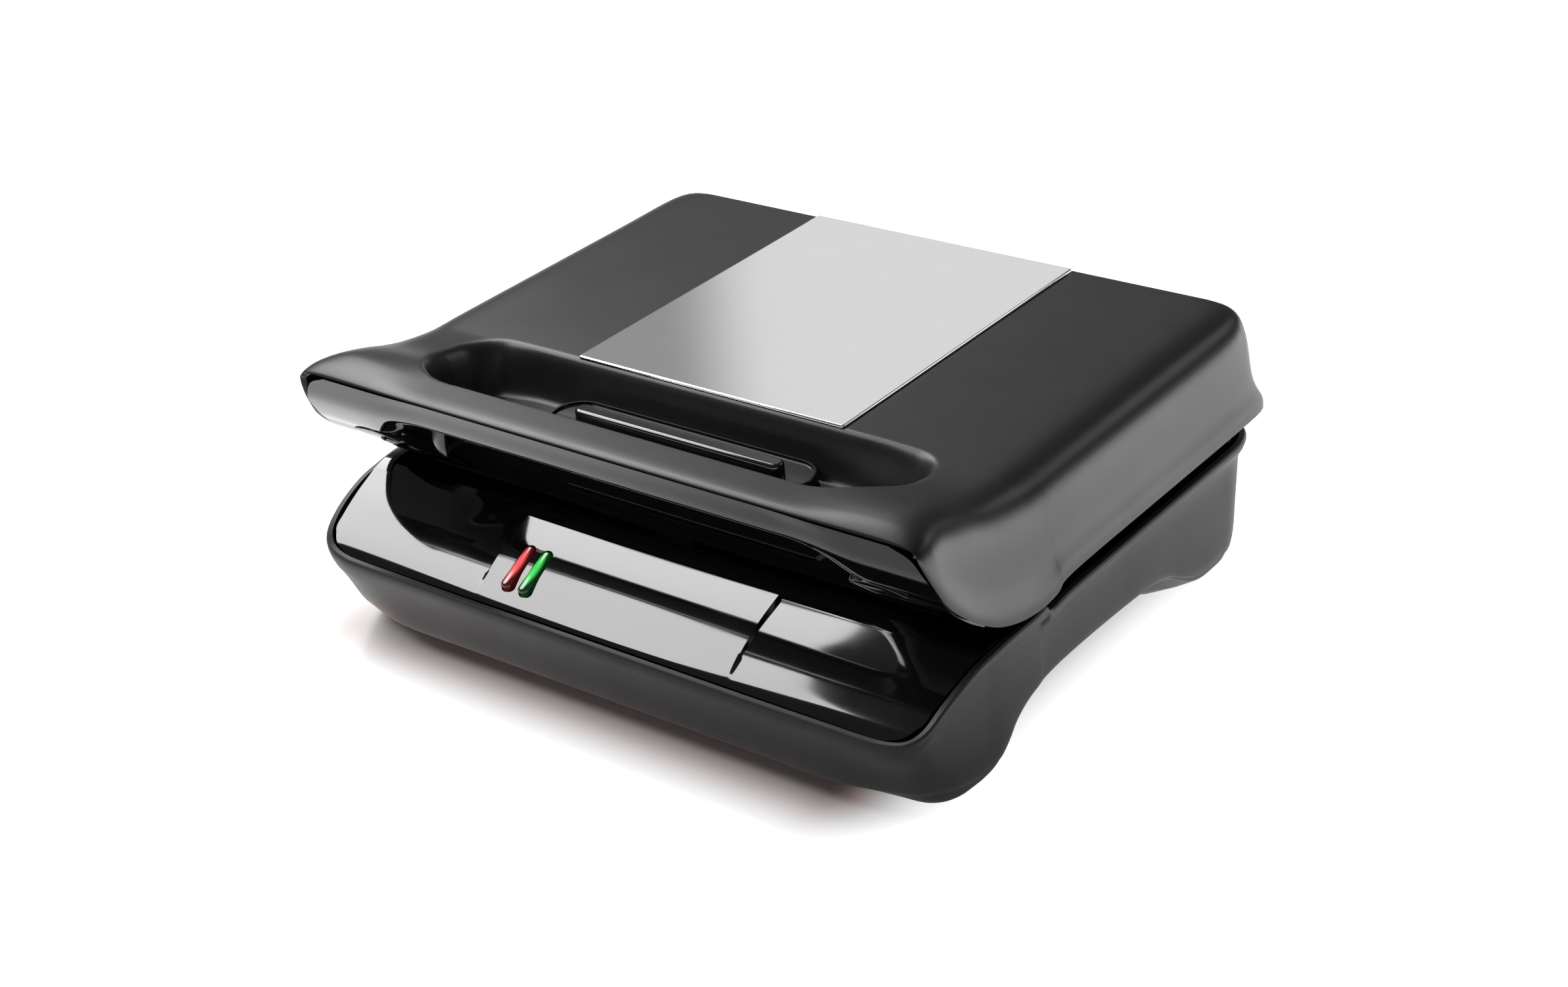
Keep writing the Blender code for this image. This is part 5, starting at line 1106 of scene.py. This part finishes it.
# %% Finishes by material slot
SLOT_FINISHES = {
    "shell_black": satin_black,
    "shell_grey": satin_grey,
    "gloss_black": piano_black,
    "steel": finish("bright_steel", (0.56, 0.56, 0.57), 0.22, metallic=1.0, grain=0.1),
    "cast_black": finish("non_stick_coat", (0.020, 0.020, 0.021), 0.34, grain=0.8, grain_size=0.9 * MM),
    "element_grey": finish("oxidised_tube", (0.16, 0.15, 0.14), 0.55, metallic=1.0, grain=0.4),
    "aluminised": finish("aluminised_sheet", (0.55, 0.55, 0.56), 0.34, metallic=1.0, grain=0.3),
    "rubber_black": finish("rubber", (0.020, 0.020, 0.021), 0.75, grain=0.7),
    "ceramic": finish("steatite", (0.72, 0.69, 0.62), 0.55, grain=0.5),
    "board_brown": finish("lamp_board_resin", (0.33, 0.20, 0.09), 0.6, grain=0.3),
}
slot_of_node = {entry["node"]: entry["material_slot"] for entry in frame["record"]["subparts"]}
for node, item in sorted(frame["nodes"].items()):
    chosen = SLOT_FINISHES.get(slot_of_node[node])
    if chosen is not None:
        item.data.materials.clear()
        item.data.materials.append(chosen)
print("finished nodes:", len(frame["nodes"]))

# %% [markdown]
# ## The studio
# The grill stands on a white table in a white room. The table is lit and keeps the grill's shadow, and away
# from the grill a glow of its own, which only the camera sees, fades it to plain white. Near the grill that
# glow fades out and turns warm, a painted shade and a painted warm shadow tint round the real shadow. A
# second glow shows only in reflections. It is dim just in front of the grill, a painted shadow, and bright
# farther off and to the right, painted light, as the base fascia mirrors it in the photograph.

# %% Values of the floor
FLOOR_RADIUS = 3.0
FLOOR_Z = -0.05 * MM
FLOOR_COLOR = (0.52, 0.50, 0.50, 1.0)
# The warm colour that the glow takes near the grill: a painted shadow tint
SHADOW_COLOR = (1.0, 0.62, 0.60, 1.0)
WHITE = (1.0, 1.0, 1.0, 1.0)
GRILL_HALF_PLAN = (0.106, 0.104, 0.0)
# Both shifts bring the middle that a distance is measured from to the origin
GRILL_SHIFT = (0.016, 0.004, 0.0)
FRONT_SHIFT = (-0.09, 0.17, 0.0)
# Each change runs from a distance to a farther one, and from a strength to another
# The seen glow fades out near the grill, which darkens the floor there as painted shade round its real
# shadow
SEEN_GLOW = (0.0, 0.045, 0.01, 1.0)
SHADOW_FADE = (0.0, 0.022, 0.0, 1.0)
# The front glow is dim near the grill as a painted shadow in reflections, and the right glow is painted
# light
FRONT_GLOW = (0.05, 0.30, 0.25, 1.35)
RIGHT_GLOW = (0.15, 0.40, 0.0, 3.6)
print("floor radius:", FLOOR_RADIUS)


# %% Floor
def floor_finish():
    made = bpy.data.materials.new("studio_floor")
    made.use_nodes = True
    tree = made.node_tree
    place = add(tree, "TexCoord", "Object")
    rays = tree.nodes.new("ShaderNodeLightPath").outputs
    beside = vector_maths(tree, "ABSOLUTE", vector_maths(tree, "ADD", place, GRILL_SHIFT))
    beside = vector_maths(tree, "SUBTRACT", beside, GRILL_HALF_PLAN)
    distance = vector_maths(tree, "LENGTH", vector_maths(tree, "MAXIMUM", beside, (0.0, 0.0, 0.0)))
    from_front = vector_maths(tree, "LENGTH", vector_maths(tree, "ADD", place, FRONT_SHIFT))
    to_right = add(tree, "SeparateXYZ", "X", Vector=place)
    seen_floor = fade(tree, distance, *SEEN_GLOW)
    mirrored_floor = maths(tree, "ADD", fade(tree, from_front, *FRONT_GLOW),
                           fade(tree, to_right, *RIGHT_GLOW))
    glow = maths(tree, "ADD", maths(tree, "MULTIPLY", seen_floor, rays["Is Camera Ray"]),
                 maths(tree, "MULTIPLY", mirrored_floor, rays["Is Glossy Ray"]))
    # A painted warm shadow tint in the glow near the grill
    painted_shadow_tint = add(tree, "Mix", "Result", {"data_type": "RGBA"}, A=SHADOW_COLOR, B=WHITE,
                 Factor=fade(tree, distance, *SHADOW_FADE))
    shader = tree.nodes["Principled BSDF"]
    for socket, value in (("Base Color", FLOOR_COLOR), ("Roughness", 0.25), ("Specular IOR Level", 0.3),
                          ("Emission Strength", glow), ("Emission Color", painted_shadow_tint)):
        plug(tree, shader.inputs[socket], value)
    return made


floor = settle(blank("studio_table", bpy.ops.mesh.primitive_circle_add, vertices=96, radius=FLOOR_RADIUS,
                     fill_type="NGON", location=(0, 0, FLOOR_Z)))
floor.data.materials.append(floor_finish())
print("floor:", floor.name)

# %% [markdown]
# ### The room
# Each kind of ray meets its own room. The camera sees plain white, and the surfaces are lit by a dim even
# light, so that the softboxes set the tones. The gloss parts mirror a dim room with one soft bright card in
# it, which the steel panel shows. Part of the card is shaded, which gives the panel its dark gradient.

# %% Values of the room
SHADE_AZIMUTH = math.radians(-139.5)
SHADE_EDGE_SHARES = (-0.020, 0.022)
CARD_AZIMUTH = math.radians(-142.0)
CARD_ELEVATION = math.radians(24.4)
CARD_CONES = (math.radians(13.0), math.radians(9.0))
CARD_RADIANCE = 0.61
CARD_SHADE_SHARE = 0.261
MIRRORED_RADIANCE = 0.15
LIT_RADIANCE = 0.2
SEEN_RADIANCE = 1.0
print("card's edge:", [round(math.degrees(cone)) for cone in CARD_CONES], "degrees from its middle")

# %% World
world = bpy.data.worlds.new("white_room")
bpy.context.scene.world = world
world.use_nodes = True
room = world.node_tree


def layer(radiance):
    return add(room, "Background", "Background", Color=WHITE, Strength=radiance)


def choose_layer(test, otherwise, chosen):
    """A layer that is chosen where the test is 1, and another one elsewhere."""
    mixer = room.nodes.new("ShaderNodeMixShader")
    for socket, value in zip(mixer.inputs, (test, otherwise, chosen)):
        plug(room, socket, value)
    return mixer.outputs["Shader"]


rays = room.nodes.new("ShaderNodeLightPath").outputs
direction = add(room, "TexCoord", "Generated")
across_shade = (math.cos(SHADE_AZIMUTH), math.sin(SHADE_AZIMUTH), 0.0)
sideways = vector_maths(room, "DOT_PRODUCT", direction, across_shade)
shaded = fade(room, sideways, *SHADE_EDGE_SHARES, CARD_RADIANCE, CARD_RADIANCE * CARD_SHADE_SHARE)
nearness = vector_maths(room, "DOT_PRODUCT", direction, towards(CARD_AZIMUTH, CARD_ELEVATION))
card = fade(room, nearness, *[math.cos(cone) for cone in CARD_CONES], 0.0, shaded)
mirrored_room = layer(maths(room, "ADD", card, MIRRORED_RADIANCE))
unseen_room = choose_layer(rays["Is Glossy Ray"], layer(LIT_RADIANCE), mirrored_room)
seen = maths(room, "MAXIMUM", rays["Is Camera Ray"], rays["Is Transmission Ray"])
whole_room = choose_layer(seen, unseen_room, layer(SEEN_RADIANCE))
plug(room, room.nodes["World Output"].inputs["Surface"], whole_room)
print("world:", world.name)

# %% [markdown]
# ### The softboxes
# A large one overhead on the left gives the main light and its pale reflections. A smaller one at the back
# right and a weak one in front lift the sides that it leaves dark.

# %% Softboxes
# For each softbox: its place, what it looks at, its width, height and radiance
SOFTBOXES = {
    "left_overhead_softbox": ((-0.78, -0.02, 0.90), (0, -0.05, 0.05), 1.3, 0.52, 10.9),
    "front_softbox": ((0.3, -1.4, 0.7), (0, 0, 0.05), 0.5, 0.4, 0.8),
    "back_right_softbox": ((0.66, 0.95, 0.80), (0, 0, 0.05), 0.8, 0.35, 2.4),
}


def softbox(name, place, target, width, height, radiance):
    """A rectangular lamp of even radiance that looks at a target."""
    data = bpy.data.lights.new(name, "AREA")
    data.shape = "RECTANGLE"
    data.size = width
    data.size_y = height
    data.energy = radiance * math.pi * width * height
    made = bpy.data.objects.new(name, data)
    bpy.context.scene.collection.objects.link(made)
    made.location = place
    made.rotation_euler = (Vector(place) - Vector(target)).to_track_quat("Z", "Y").to_euler()
    made.visible_camera = False
    return made


for name, facts in SOFTBOXES.items():
    softbox(name, *facts)

# %% Finish
bpy.context.view_layer.update()
